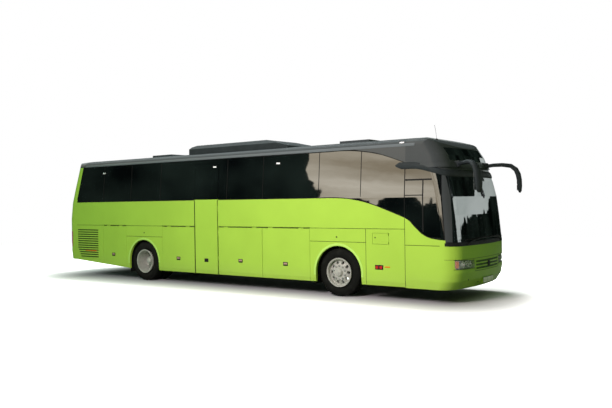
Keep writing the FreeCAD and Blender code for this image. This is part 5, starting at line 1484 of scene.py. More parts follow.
@dataclass
class SideFittings:
    """Handles, locks, lamps, labels, lines and seals of the side walls."""

    handle: Pair = (0.13, 0.085)
    handles: dict[str, Pair] = field(
        default_factory=lambda: {
            "service_flap_right": (-4.1775, 0.645),
            "hold_flap_right_1": (-1.6505, 0.627),
            "mid_door": (-0.6795, 0.617),
            "hold_flap_right_2": (0.4205, 0.645),
            "hold_flap_right_3": (1.7415, 0.628),
        }
    )
    locks: tuple[float, ...] = (-2.9225, 3.1075)
    lock_height: float = 1.249
    labels: tuple[float, ...] = (-4.6185, 1.5245)
    door_label: float = -0.4245
    label_height: float = 2.86
    grille: Pair = (-5.7795, -4.8005)
    grille_bar: float = 0.031
    arch_radius: float = 0.5705
    arch_height: float = 0.495
    line_width: float = 0.009
    line_step: float = 0.08
    window_foot: float = 2.075
    window_end: float = 5.33

    def handle_form(self, side: Side, x: float, z: float, bright: bool) -> Form:
        """Recessed paddle handle in a black cup.

        Args:
            side: Side of the coach.
            x: Middle of the handle.
            z: Height of the handle.
            bright: Whether the paddle is pale.

        Returns:
            The handle, with its paddle as second finish.
        """
        half, tall = self.handle[0] / 2, self.handle[1] / 2
        rim = Form.on_wall(side, (x - half, x + half), (z - tall, z + tall), (-0.004, 0.005), 0.003)
        length = (x - half + 0.016, x + half - 0.016)
        paddle = Form.on_wall(side, length, (z - 0.012, z + tall - 0.014), (0.0, 0.009), 0.004, 3)
        return rim.take(paddle.in_finish(1 if bright else 0))

    def lines(self, side: Side) -> Form:
        """Sealed joints between the fixed outer panels of one side.

        Args:
            side: Side of the coach.

        Returns:
            The joints.
        """
        belt, flap_top, sill_top, skirt = LINES.belt, 1.15, 1.118, 0.3
        runs = [
            [(-5.79, belt), (-4.625, belt)],
            [(-3.63, belt), (-2.225, belt)],
            [(-3.63, flap_top), (-2.225, flap_top)],
            [(2.4165, belt), (4.7045, belt)],
            [(2.4165, flap_top), (3.8155, flap_top)],
            [(3.8155, belt), (3.8155, skirt)],
        ]
        flaps = [(-4.625, -3.63), (-2.225, -1.08), (-0.27, 2.4165)]
        if side is Side.LEFT:
            flaps[1:] = [(-2.225, 2.4145)]
        edge = belt + self.line_width * 0.9
        runs += [[(start, edge), (end, edge)] for start, end in flaps]
        if side is Side.RIGHT:
            runs += [[(4.7045, 1.64), (4.7045, skirt)], [(4.7045, sill_top), (5.44, sill_top)]]
        else:
            runs.append([(-5.79, 1.78), (-5.79, belt)])
        joints = Form()
        for run in runs:
            joints.take(Form.wall_band(side, stepped(run, self.line_step), self.line_width, 0.0012))
        return joints

    def grille_backs(self, side: Side) -> Form:
        """Dark mesh behind the slots of the engine-air grille.

        Args:
            side: Side of the coach.

        Returns:
            The mesh strips.
        """
        backs = Form()
        for index in range(13):
            start = self.grille[0] + max(0, 4 - index) * 0.034 + self.grille_bar
            low = 0.536 + index * 0.062
            ends = (start, self.grille[1] - self.grille_bar)
            backs.take(Form.on_wall(side, ends, (low, low + 0.028), (-0.0005, 0.0017)))
        return backs

    def arches(self, side: Side) -> Form:
        """Raised lips round both wheel arches.

        Args:
            side: Side of the coach.

        Returns:
            The lips.
        """
        lips = Form()
        depth = (side.value * (LINES.half_width - 0.004), side.value * (LINES.half_width + 0.009))
        inner, outer = self.arch_radius - 0.003, self.arch_radius + 0.05
        for x, span in ((LINES.rear_axle, (0.0, 186.0)), (LINES.front_axle, (-6.0, 186.0))):
            lips.take(Form.arch((x, self.arch_height), inner, outer, depth, span))
        return lips

    def seals(self, side: Side) -> Form:
        """Rubber along the lower edge of the window band.

        Args:
            side: Side of the coach.

        Returns:
            The rubber strips on the wall.
        """
        curve = [(x, z + 0.006) for x, z in smoothed(WINDOW_LINE, 4)]
        start, bend = (-5.77, self.window_foot), (2.7, 2.07)
        if side is Side.RIGHT:
            front = [point for point in curve if point[0] < self.window_end]
            runs = ([start, (-1.08, self.window_foot)], [(-0.265, self.window_foot), bend, *front])
        else:
            runs = ([start, bend, *(point for point in curve if point[0] < 4.71)],)
        rubber = Form()
        for run in runs:
            rubber.take(Form.wall_band(side, run, 0.016, 0.004))
        return rubber

    def fuel_fittings(self) -> Form:
        """Lock of the fuel flap."""
        lock = Form.drum(0.013, 0.008, (4.0365, -1.277, 1.252), Axis.Y, 20)
        return lock.take(Form.block((4.025, -1.283, 1.249), (4.048, -1.279, 1.255), 0.001))

    def lamps(self, side: Side) -> Form:
        """Side lamp in its bezel, and reflectors, in bezel, red and orange finishes.

        Args:
            side: Side of the coach.

        Returns:
            The lamps of one side.
        """
        lamp = Form.on_wall(side, (4.0265, 4.2145), (0.612, 0.706), (-0.004, 0.008), 0.006, 3)
        y = side.value * (LINES.half_width + 0.004)
        for x in (4.075, 4.166):
            lamp.take(Form.drum(0.033, 0.018, (x, y, 0.659), Axis.Y, 28).in_finish(1))
        lamp.take(Form.on_wall(side, (4.2495, 4.3675), (0.66, 0.684), (-0.002, 0.006), 0.003).in_finish(2))
        if side is Side.RIGHT:
            lamp.take(Form.on_wall(side, (-5.42, -4.92), (0.704, 0.728), (-0.002, 0.006), 0.003).in_finish(2))
        return lamp

    def lock_forms(self, side: Side) -> Form:
        """Round locks of the panels over both wheels.

        Args:
            side: Side of the coach.

        Returns:
            The locks of one side.
        """
        locks = Form()
        y = side.value * (LINES.half_width + 0.001)
        for x in self.locks:
            locks.take(Form.drum(0.016, 0.01, (x, y, self.lock_height), Axis.Y, 24))
        return locks

    def label(self, x: float) -> Form:
        """Blank white label high on a pane of the right side."""
        ends = [(x - 0.05, self.label_height), (x + 0.05, self.label_height)]
        return Form.wall_band(Side.RIGHT, ends, 0.034, 0.0012, 0.001)

    def build(self, shop: Workshop) -> None:
        """Makes every fitting of both sides.

        Args:
            shop: Workshop that makes the pieces.
        """
        metal = [Finish.BLACK_PLASTIC, Finish.HANDLE_METAL]
        for node, (x, z) in self.handles.items():
            shop.piece(f"{node}_handle", self.handle_form(Side.RIGHT, x, z, node != "mid_door"), metal, node)
        for number in (1, 2, 3):
            node = f"hold_flap_left_{number}"
            low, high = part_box(node)
            handle = self.handle_form(Side.LEFT, (low.x + high.x) / 2, 0.64, True)
            shop.piece(f"{node}_handle", handle, metal, node)
        handle = self.handle_form(Side.LEFT, *self.handles["service_flap_right"], True)
        shop.piece("service_flap_left_handle", handle, metal, "service_flap_left")
        for side in Side:
            wall = f"side_wall_{side.word}"
            shop.piece(f"panel_joints_{side.word}", self.lines(side), [Finish.SEAL_RUBBER], wall)
            shop.piece(f"air_grille_mesh_{side.word}", self.grille_backs(side), [Finish.MESH], "air_grilles")
            # The arch lips take the paler lime as a painted highlight.
            shop.piece(f"arch_lips_{side.word}", self.arches(side), [Finish.PALE_LIME], wall)
            shop.piece(f"window_rubber_{side.word}", self.seals(side), [Finish.SEAL_RUBBER], wall)
            lenses = [Finish.BLACK_PLASTIC, Finish.RED_LENS, Finish.ORANGE_LENS]
            shop.piece(f"side_lamps_{side.word}", self.lamps(side), lenses, wall)
            shop.piece(f"panel_locks_{side.word}", self.lock_forms(side), [Finish.BLACK_PLASTIC], wall)
        shop.piece("fuel_flap_lock", self.fuel_fittings(), [Finish.BLACK_PLASTIC], "fuel_flap")
        labels = Form().take(*(self.label(x) for x in self.labels))
        shop.piece("window_labels", labels, [Finish.PLATE_WHITE], "side_glass")
        shop.piece("door_label", self.label(self.door_label), [Finish.PLATE_WHITE], "mid_door")
        edges = Form()
        for ends in ((-1.0685, -1.0465), (-0.3005, -0.2905)):
            edges.take(Form.on_wall(Side.RIGHT, ends, (0.296, 2.07), (-0.002, 0.005)))
        shop.piece("mid_door_rubber", edges.rounded(0.0015, 1), [Finish.SEAL_RUBBER], "mid_door")


@dataclass
class WindowTrim:
    """Joints between the panes, bars of the driver's window and the sealed edges of the panes."""

    joints: tuple[float, ...] = (-4.6, -3.45, -2.3, 0.0025, 1.1025, 2.6525, 3.7, 4.7045)
    bar_height: float = 2.39

    def pane_joints(self, side: Side) -> Form:
        """Narrow black joints between neighbouring panes.

        Args:
            side: Side of the coach.

        Returns:
            The joints of one side.
        """
        strips = Form()
        for x in self.joints:
            low, high = 2.086, 3.03
            if x > CURVE_START:
                low, high = line_height(WINDOW_LINE, x) + 0.012, line_height(CANOPY_LINE, x) - 0.01
            path = [(x, low + (high - low) * step / 5) for step in range(6)]
            strips.take(Form.wall_band(side, path, 0.014, 0.0025, 0.003))
        return strips

    def driver_bars(self) -> Form:
        """Level bar and the sliding frame of the driver's window.

        Returns:
            The bars.
        """
        bars = Form.wall_band(Side.RIGHT, [(4.71, self.bar_height), (5.28, self.bar_height)], 0.03, 0.006)
        bars.take(Form.wall_band(Side.RIGHT, [(4.71, 2.09), (5.1, 2.09)], 0.018, 0.005))
        path = [(5.1, 2.38 - 0.1 * step) for step in range(11)]
        return bars.take(Form.wall_band(Side.RIGHT, path, 0.022, 0.005))

    def canopy_edge(self, side: Side) -> Form:
        """Fine black line under the canopy over the front windows.

        Args:
            side: Side of the coach.

        Returns:
            The line.
        """
        path = [(x, z - 0.004) for x, z in smoothed(CANOPY_LINE[1:], 3) if 3.4 < x < 5.0]
        return Form.wall_band(side, path, 0.012, 0.004)

    def build(self, shop: Workshop) -> None:
        """Makes the trim of the side windows.

        Args:
            shop: Workshop that makes the pieces.
        """
        for side in Side:
            shop.piece(f"pane_joints_{side.word}", self.pane_joints(side), [Finish.SEAL_RUBBER], "side_glass")
            shop.piece(f"canopy_edge_{side.word}", self.canopy_edge(side), [Finish.SEAL_RUBBER], "side_glass")
        shop.piece("driver_window_bars", self.driver_bars(), [Finish.BLACK_PLASTIC], "side_glass")


@dataclass
class FrontEnd:
    """Grille, headlamps, plate, wipers, brow and painted shade lines at the steps of the front."""

    slot_low: float = 0.64
    slot_pitch: float = 0.065
    slot_height: float = 0.036
    slot_half: float = 0.56
    lamp_width: Pair = (0.625, 1.242)
    bowls: tuple[Point, ...] = ((0.73, 0.758, 0.05), (0.87, 0.762, 0.062), (1.005, 0.764, 0.058))
    plate: Point = (0.26, 0.344, 0.454)
    spindle: Pair = (0.86, 1.15)

    def grille(self) -> Form:
        """Dark backs of the grille slots and a fine bar in each.

        Returns:
            The backs, with the bars as second finish.
        """
        bars = Form()
        for index in range(3):
            low = self.slot_low + index * self.slot_pitch
            high, middle = low + self.slot_height, low + self.slot_height / 2
            bars.take(Form.nose_band(spread(self.slot_half, 16), low + 0.001, high - 0.001, 0.0098, -0.008))
            inside = spread(self.slot_half - 0.004, 16)
            bars.take(Form.nose_band(inside, middle - 0.004, middle + 0.004, 0.009, 0.002).in_finish(1))
        return bars

    def creases(self) -> Form:
        """Dark strips across the front, over the lamps and round the grille recess: painted shade where the
        panel steps.

        Returns:
            The painted shade lines.
        """
        joints = Form.nose_band(spread(1.42, 48), 0.853, 0.859, 0.002, 0.0012)
        joints.take(Form.nose_band(spread(0.6, 20), 0.606, 0.614, 0.002, 0.0014))
        for side in Side:
            edges = []
            for step in range(5):
                height = 0.61 + 0.246 * step / 4
                reach = side.value * (0.6 + 0.012 * step)
                edges.append(((reach - 0.003, height), (reach + 0.003, height)))
            joints.take(Form.ribbon(NOSE.lap, edges, 0.002, 0.0014))
        return joints

    def badge_place(self) -> Form:
        """Plain dark boss with a raised rim where a badge would sit."""
        profile = [
            (0.0, 0.001), (0.0, 0.062), (0.006, 0.062), (0.008, 0.056),
            (0.004, 0.052), (0.007, 0.03), (0.008, 0.001),
        ]
        return Form.lathe(profile, NOSE.lap(0.0, 0.723, 0.002), Axis.X, 40)

    def lamp_inside(self, side: Side) -> Form:
        """Bowl, projector and indicator behind one headlamp cover.

        Args:
            side: Side of the coach.

        Returns:
            The inside, in silver, glass and orange finishes.
        """
        sign = side.value
        inside = Form()
        for y, z, radius in self.bowls:
            profile = [
                (-0.03, 0.012), (-0.024, radius * 0.55), (-0.002, radius * 0.92), (0.008, radius),
                (0.011, radius - 0.003), (0.0, radius * 0.86), (-0.02, radius * 0.5), (-0.024, 0.012),
            ]
            dome = [(-0.02, 0.001), (-0.02, 0.03), (-0.006, 0.028), (0.004, 0.016), (0.006, 0.001)]
            bowl = Form.lathe(profile, ORIGIN, Axis.X, 32)
            bowl.take(Form.lathe(dome, ORIGIN, Axis.X, 28).in_finish(1))
            turn = sign * (16 + 22 * (y - 0.73) / 0.3)
            inside.take(bowl.turned(turn, Axis.Z).moved(NOSE.lap(sign * (y + 0.02), z, -0.03)))
        back = [sign * reach for reach in (0.66, 0.76, 0.86, 0.96, 1.06, 1.16, 1.22)]
        inside.take(Form.nose_band(back, 0.69, 0.838, 0.057, -0.048))
        outer = [sign * reach for reach in (1.13, 1.16, 1.19, 1.22)]
        return inside.take(Form.nose_band(outer, 0.7, 0.83, 0.03, -0.014).in_finish(2))

    def lamp_frame(self, side: Side) -> Form:
        """Dark gasket round one headlamp cover.

        Args:
            side: Side of the coach.

        Returns:
            The gasket.
        """
        first, last = self.lamp_width
        reaches = [first + (last - first) * index / 14 for index in range(15)]
        tops = []
        for reach in reaches:
            top = self.top_at(reach)
            tops.append(((side.value * reach, top), (side.value * reach, top + 0.007)))
        foot = Form.nose_band([side.value * reach for reach in reaches], 0.668, 0.676, 0.004, 0.003)
        return Form.ribbon(NOSE.lap, tops, 0.004, 0.003).take(foot)

    def top_at(self, reach: float) -> float:
        """Upper edge of the headlamp cover."""
        return 0.82 + 0.028 * min(1.0, max(0.0, (reach - 0.65) / 0.56))

    def plate_form(self) -> Form:
        """Blank plate in its holder.

        Returns:
            The holder, with the plate as second finish.
        """
        half, low, high = self.plate
        x, rim = LINES.nose - 0.0135, 0.006
        holder = Form.block((x - 0.01, -half, low), (x + 0.004, half, high), 0.003)
        blank = Form.block((x + 0.003, rim - half, low + rim), (x + 0.0055, half - rim, high - rim), 0.001)
        return holder.take(blank.in_finish(1))

    def sensors(self) -> Form:
        """Round parking sensors and covers of the towing eye.

        Returns:
            The sensors and covers.
        """
        dots = Form()
        for reach, height in ((-0.81, 0.455), (-0.36, 0.381), (0.36, 0.381), (0.81, 0.455)):
            dots.take(Form.drum(0.014, 0.012, NOSE.lap(reach, height), Axis.X, 20))
        return dots

    def plenum(self) -> Form:
        """Black panel with air slots under the windscreen.

        Returns:
            The panel.
        """
        panel = Form.nose_band(spread(1.4, 48), 1.112, 1.172, 0.004, 0.006)
        for index in range(4):
            low = 1.12 + index * 0.012
            panel.take(Form.nose_band(spread(0.9, 30), low, low + 0.004, 0.002, 0.009))
        return panel

    def wiper(self, side: Side) -> Form:
        """Wiper arm and blade, parked along the foot of the screen.

        Args:
            side: Side of the coach that its spindle is on.

        Returns:
            The wiper.
        """
        sign = side.value
        out, foot = self.spindle
        rest = ((out, foot, 0.02), (0.7, 1.2, 0.035), (0.35, 1.235, 0.035), (0.02, 1.24, 0.03))
        arm = [NOSE.lap(sign * reach, height, proud) for reach, height, proud in rest]
        form = Form.drum(0.024, 0.03, NOSE.lap(sign * out, foot, 0.012), Axis.X, 20)
        form.take(Form.tube(smooth_path(arm, 5), [0.011] * 5 + [0.008] * 11, 8))
        blade = []
        for reach in (0.95, 0.75, 0.55, 0.35, 0.15, -0.05, -0.2):
            height = 1.215 + 0.03 * math.sin((0.95 - reach) * 1.6)
            blade.append(NOSE.lap(sign * reach, height, 0.014))
        form.take(Form.tube(smooth_path(blade, 3), 0.0075, 6))
        spoiler = [point + Vector((0.006, 0.0, 0.012)) for point in blade]
        return form.take(Form.tube(smooth_path(spoiler, 3), 0.004, 6))

    def brow(self) -> Form:
        """Rounded ledge over the windscreen that ends in a nose over each front side window.

        Returns:
            The ledge.
        """
        far, face, low, high = 2.12, 1.02, 2.5, 2.672
        sections = []
        for reach in spread(far, 40):
            share = min(1.0, max(0.0, (abs(reach) - face) / 0.75))
            middle = low + (high - low) * (share * share * (3 - 2 * share))
            end = math.sqrt(min(1.0, (far - abs(reach)) / 0.12 + 0.08))
            ring = []
            for step in range(12):
                angle = math.tau * step / 12
                height = middle + 0.072 * end * math.sin(angle)
                ring.append(NOSE.lap(reach, height, -0.004 + 0.03 * end * math.cos(angle)))
            sections.append(ring)
        return Form.sweep(sections)

    def screen_rubber(self) -> Form:
        """Black rubber along the foot of the windscreen."""
        return Form.nose_band(spread(1.36, 40), 1.17, 1.19, 0.003, 0.005)

    def build(self, shop: Workshop) -> None:
        """Makes every fitting of the front.

        Args:
            shop: Workshop that makes the pieces.
        """
        # The grille bars take the darker lime as painted shade in the grille recess.
        shop.piece("grille_bars", self.grille(), [Finish.MESH, Finish.DARK_LIME], "front_mask")
        # Dark strips that paint the shade in the steps of the front panel.
        shop.piece("front_creases", self.creases(), [Finish.SEAL_RUBBER], "front_mask")
        shop.piece("badge_place", self.badge_place(), [Finish.BLACK_PLASTIC], "front_mask")
        for side in Side:
            inside = [Finish.CHROME, Finish.LAMP_CORE, Finish.ORANGE_LENS]
            shop.piece(f"headlamp_inside_{side.word}", self.lamp_inside(side), inside, "headlamps")
            gasket = self.lamp_frame(side)
            shop.piece(f"headlamp_gasket_{side.word}", gasket, [Finish.SEAL_RUBBER], "front_mask")
            shop.piece(f"wiper_{side.word}", self.wiper(side), [Finish.BLACK_PLASTIC], "front_mask")
        shop.piece("front_plate", self.plate_form(), [Finish.BLACK_PLASTIC, Finish.PLATE_WHITE], "front_mask")
        shop.piece("parking_sensors", self.sensors(), [Finish.BLACK_PLASTIC], "front_mask")
        shop.piece("screen_plenum", self.plenum(), [Finish.BLACK_PLASTIC], "front_cap")
        shop.piece("screen_rubber", self.screen_rubber(), [Finish.SEAL_RUBBER], "windscreen")
        shop.piece("brow_ledge", self.brow(), [Finish.SHELL_PLASTIC], "front_cap", sharp=60.0)


@dataclass
class Mirrors:
    """Long hanging mirrors on curved arms, which stand for the plain ones."""

    spine: tuple[Point, ...] = (
        (5.57, 0.69, 2.68), (5.72, 0.78, 2.705), (5.87, 0.91, 2.712), (6.01, 1.035, 2.69),
        (6.1, 1.095, 2.61), (6.145, 1.112, 2.5), (6.165, 1.115, 2.38), (6.172, 1.115, 2.25),
        (6.172, 1.112, 2.16), (6.17, 1.112, 2.118),
    )
    widths: tuple[float, ...] = (0.05, 0.05, 0.054, 0.064, 0.082, 0.094, 0.097, 0.09, 0.07, 0.03)
    depths: tuple[float, ...] = (0.042, 0.042, 0.045, 0.05, 0.056, 0.06, 0.058, 0.052, 0.042, 0.02)

    def head(self, side: Side) -> Form:
        """Arm that widens into the hanging head.

        Args:
            side: Side of the coach.

        Returns:
            The arm and shell of one mirror.
        """
        points = [Vector(point) for point in self.spine]
        sections = []
        for index, place in enumerate(points):
            ahead = (points[min(index + 1, len(points) - 1)] - points[max(index - 1, 0)]).normalized()
            across = Vector((-0.25, 1.0, 0.0)).normalized()
            across = (across - ahead * across.dot(ahead)).normalized()
            other = ahead.cross(across).normalized()
            ring = []
            for step in range(16):
                angle = math.tau * step / 16
                flat = 0.82 if math.sin(angle) > 0 else 1.0
                point = place + across * (self.widths[index] * math.cos(angle))
                point += other * (self.depths[index] * flat * math.sin(angle))
                ring.append((point.x, side.value * point.y, point.z))
            sections.append(ring)
        return Form.sweep(sections)

    def glass(self, side: Side) -> Form:
        """Two mirror glasses on the back of the head.

        Args:
            side: Side of the coach.

        Returns:
            The glasses.
        """
        panes = Form()
        for low, high in ((2.165, 2.29), (2.3, 2.53)):
            pane = Form.block((-0.003, -0.07, low), (0.003, 0.07, high), 0.002)
            panes.take(pane.turned(14.0, Axis.Z).moved((6.113, 1.113, 0.0)))
        return panes if side is Side.LEFT else panes.twin()

    def build(self, shop: Workshop) -> None:
        """Makes both mirrors.

        Args:
            shop: Workshop that makes the pieces.
        """
        shells = self.head(Side.RIGHT).take(self.head(Side.LEFT))
        for side in Side:
            foot = Form.block((5.5, side.value * 0.62, 2.62), (5.64, side.value * 0.76, 2.75), 0.03, 4)
            shells.take(foot)
        shell = [Finish.SHELL_PLASTIC]
        shop.piece("hanging_mirrors", shells, shell, "mirrors", ("mirrors",), 50.0)
        glasses = self.glass(Side.LEFT).take(self.glass(Side.RIGHT))
        shop.piece("mirror_glasses", glasses, [Finish.MIRROR_GLASS], "mirrors")


@dataclass
class RearEnd:
    """Lamps, window rubber, plate, lid fittings and lines of the rear."""

    slots: int = 9
    slot_low: float = 0.8
    slot_pitch: float = 0.048
    slot_height: float = 0.026
    slot_half: float = 0.62

    def tail_band(
        self, half: float, low: float, high: float, sunk: float, proud: float, count: int = 16
    ) -> Form:
        """Level band that follows the rear face.

        Args:
            half: Half length of the band.
            low: Height of its lower edge.
            high: Height of its upper edge.
            sunk: Depth of its back behind the skin.
            proud: How far it stands off the skin.
            count: Pieces of the band.

        Returns:
            The band.
        """
        return Form.ribbon(TAIL.point, [((y, low), (y, high)) for y in spread(half, count)], sunk, proud)

    def vents(self) -> Form:
        """Dark mesh behind the slots of the engine lid.

        Returns:
            The mesh strips.
        """
        mesh = Form()
        for index in range(self.slots):
            low = self.slot_low + index * self.slot_pitch
            high = low + self.slot_height
            mesh.take(self.tail_band(self.slot_half, low + 0.001, high - 0.001, 0.0098, -0.0075))
        return mesh

    def lid_fittings(self) -> Form:
        """Blank plate, grip and lock of the engine lid, in black and white.

        Returns:
            The fittings, with the plate as second finish.
        """
        plate = self.tail_band(0.26, 1.334, 1.444, 0.0085, -0.004, 8)
        plate.take(self.tail_band(0.254, 1.34, 1.438, 0.0045, -0.002, 8).in_finish(1))
        grip = Form.block((-6.262, -0.16, 0.742), (-6.24, 0.16, 0.775), 0.006, 3)
        return plate.take(grip, Form.drum(0.014, 0.012, (-6.243, 0.0, 1.27), Axis.X, 20))

    def window_rubber(self) -> Form:
        """Rubber frame round the rear window.

        Returns:
            The frame.
        """
        rubber = self.tail_band(0.92, 2.1, 2.124, 0.002, 0.004)
        rubber.take(self.tail_band(0.92, 2.956, 2.98, 0.002, 0.004))
        for side in Side:
            inner, outer = side.value * 0.896, side.value * 0.92
            heights = [2.1 + 0.88 * index / 12 for index in range(13)]
            rubber.take(Form.ribbon(TAIL.point, [((inner, z), (outer, z)) for z in heights], 0.002, 0.004))
        return rubber

    def lamp_parts(self, side: Side) -> Form:
        """Round lamp units over the tail lens, in chrome, orange and white finishes.

        Args:
            side: Side of the coach.

        Returns:
            The units of one side.
        """
        bezel = [(0.0, 0.044), (-0.007, 0.05), (-0.009, 0.055), (0.0, 0.06), (0.006, 0.044)]
        dome = [(0.004, 0.046), (-0.004, 0.044), (-0.01, 0.03), (-0.012, 0.001)]
        units = Form()
        for height, finish in ((1.175, 1), (1.03, 3), (0.885, 2)):
            unit = Form.lathe(bezel, ORIGIN, Axis.X, 36)
            unit.take(Form.lathe(dome, ORIGIN, Axis.X, 32).in_finish(finish))
            unit.turned(side.value * -7.0, Axis.Z).moved(TAIL.point(side.value * 1.07, height, 0.001))
            units.take(unit)
        return units

    def lines(self) -> Form:
        """Joint lines of the bumper and the upper marker lamps' line."""
        joints = self.tail_band(1.1, 0.7, 0.706, 0.002, 0.0012, 24)
        return joints.take(self.tail_band(1.1, 1.64, 1.646, 0.002, 0.0012, 24))

    def markers(self) -> Form:
        """Red marker lamps and high brake lamp at the top of the rear.

        Returns:
            The lamps.
        """
        lamps = Form()
        for y in (-0.98, 0.98):
            lamp = Form.block((-0.012, -0.05, -0.018), (0.01, 0.05, 0.018), 0.005, 3)
            lamps.take(lamp.moved(TAIL.point(y, 3.04)))
        return lamps.take(self.tail_band(0.3, 3.015, 3.04, 0.002, 0.008, 10))

    def build(self, shop: Workshop) -> None:
        """Makes every fitting of the rear.

        Args:
            shop: Workshop that makes the pieces.
        """
        shop.piece("engine_lid_mesh", self.vents(), [Finish.MESH], "engine_lid")
        lid = [Finish.BLACK_PLASTIC, Finish.PLATE_WHITE]
        shop.piece("engine_lid_fittings", self.lid_fittings(), lid, "engine_lid")
        shop.piece("rear_window_rubber", self.window_rubber(), [Finish.SEAL_RUBBER], "rear_window")
        shop.piece("rear_joints", self.lines(), [Finish.SEAL_RUBBER], "rear_wall")
        for side in Side:
            lamp = [Finish.CHROME, Finish.ORANGE_LENS, Finish.WHITE_LENS, Finish.RED_LENS]
            shop.piece(f"tail_lamp_units_{side.word}", self.lamp_parts(side), lamp, "tail_lamps")
        shop.piece("rear_marker_lamps", self.markers(), [Finish.RED_LENS], "rear_wall")


@dataclass
class RoofKit:
    """Roof rails, cooling-unit fans and louvres, hatch ribs, aerial and marker lamps."""

    fans: tuple[float, ...] = (0.3625, -0.2775)
    fan_radius: float = 0.262
    fan_top: float = 3.477
    rail_ends: Pair = (-5.46, 4.9)
    aerial_foot: Point = (5.0925, -0.6, 3.19)

    def rail(self, side: Side) -> Form:
        """Silver rail along the edge of the roof.

        Args:
            side: Side of the coach.

        Returns:
            The rail.
        """
        outline = ((1.186, 3.052), (1.196, 3.056), (1.192, 3.085), (1.172, 3.112), (1.16, 3.112))
        start, end = self.rail_ends
        sections = []
        for index in range(33):
            x = start + (end - start) * index / 32
            sections.append([(x, side.value * y, z) for y, z in outline])
        return Form.sweep(sections)

    def fan(self, x: float) -> Form:
        """Fan with its guard rings and spokes.

        Args:
            x: Place of the fan.

        Returns:
            The fan.
        """
        fan = Form()
        turns = [math.tau * step / 40 for step in range(41)]
        for radius in (0.06, 0.11, 0.16, 0.21, 0.255):
            ring = [(x + radius * math.cos(turn), radius * math.sin(turn), self.fan_top) for turn in turns]
            fan.take(Form.tube(ring, 0.0035, 6))
        middle = Vector((x, 0.0, self.fan_top - 0.001))
        for step in range(6):
            angle = math.pi * step / 6
            reach = Vector((math.cos(angle), math.sin(angle), 0.0)) * self.fan_radius
            fan.take(Form.tube([middle - reach, middle + reach], 0.0035, 6))
        fan.take(Form.drum(0.07, 0.02, (x, 0.0, 3.464), Axis.Z, 28))
        for step in range(7):
            blade = Form.block((0.06, -0.05, -0.002), (0.24, 0.05, 0.002), 0.001, 1)
            fan.take(blade.turned(24.0, Axis.X).turned(step * 360 / 7, Axis.Z).moved((x, 0.0, 3.46)))
        return fan

    def grooves(self) -> Form:
        """Dark mesh in the air grooves of the cooling unit.

        Returns:
            The mesh strips.
        """
        mesh = Form()
        for index in range(8):
            start = -1.5475 + index * 0.11
            mesh.take(Form.block((start + 0.002, -0.6, 3.4665), (start + 0.038, 0.6, 3.4695)))
        return mesh

    def hatch(self, node: str) -> Form:
        """Ribs and grip pad on a roof hatch.

        Args:
            node: Construction node of the hatch.

        Returns:
            The ribs.
        """
        low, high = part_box(node)
        ribs = Form()
        for index in range(5):
            y = low.y + 0.1 + (high.y - low.y - 0.2) * index / 4
            foot = (low.x + 0.08, y - 0.012, high.z - 0.002)
            ribs.take(Form.block(foot, (high.x - 0.08, y + 0.012, high.z + 0.007), 0.004))
        return ribs

    def aerial(self) -> Form:
        """Short whip aerial on its foot.

        Returns:
            The aerial.
        """
        profile = [(0.0, 0.001), (0.0, 0.03), (0.012, 0.024), (0.03, 0.01), (0.034, 0.001)]
        foot = Form.lathe(profile, self.aerial_foot, Axis.Z, 24)
        whip = [(5.0925, -0.6, 3.21), (5.075, -0.6, 3.36), (5.05, -0.6, 3.49)]
        return foot.take(Form.tube(whip, 0.0028, 6))

    def markers(self) -> Form:
        """Pale marker lamps at the front corners of the roof.

        Returns:
            The lamps.
        """
        lamps = Form()
        for side in Side:
            low, high = (4.56, side.value * 1.135, 3.118), (4.66, side.value * 1.168, 3.146)
            lamps.take(Form.block(low, high, 0.006, 3))
        return lamps

    def build(self, shop: Workshop) -> None:
        """Makes every fitting of the roof.

        Args:
            shop: Workshop that makes the pieces.
        """
        for side in Side:
            shop.piece(f"roof_rail_{side.word}", self.rail(side), [Finish.RAIL_SILVER], "roof")
        for number, x in enumerate(self.fans, 1):
            shop.piece(f"roof_fan_{number}", self.fan(x), [Finish.BLACK_PLASTIC], "air_conditioner")
        shop.piece("roof_unit_mesh", self.grooves(), [Finish.MESH], "air_conditioner")
        for node in ("roof_hatch_front", "roof_hatch_rear"):
            shop.piece(f"{node}_ribs", self.hatch(node), [Finish.ROOF_PAINT], node)
        shop.piece("aerial", self.aerial(), [Finish.BLACK_PLASTIC], "roof")
        shop.piece("roof_markers", self.markers(), [Finish.WHITE_LENS], "roof")


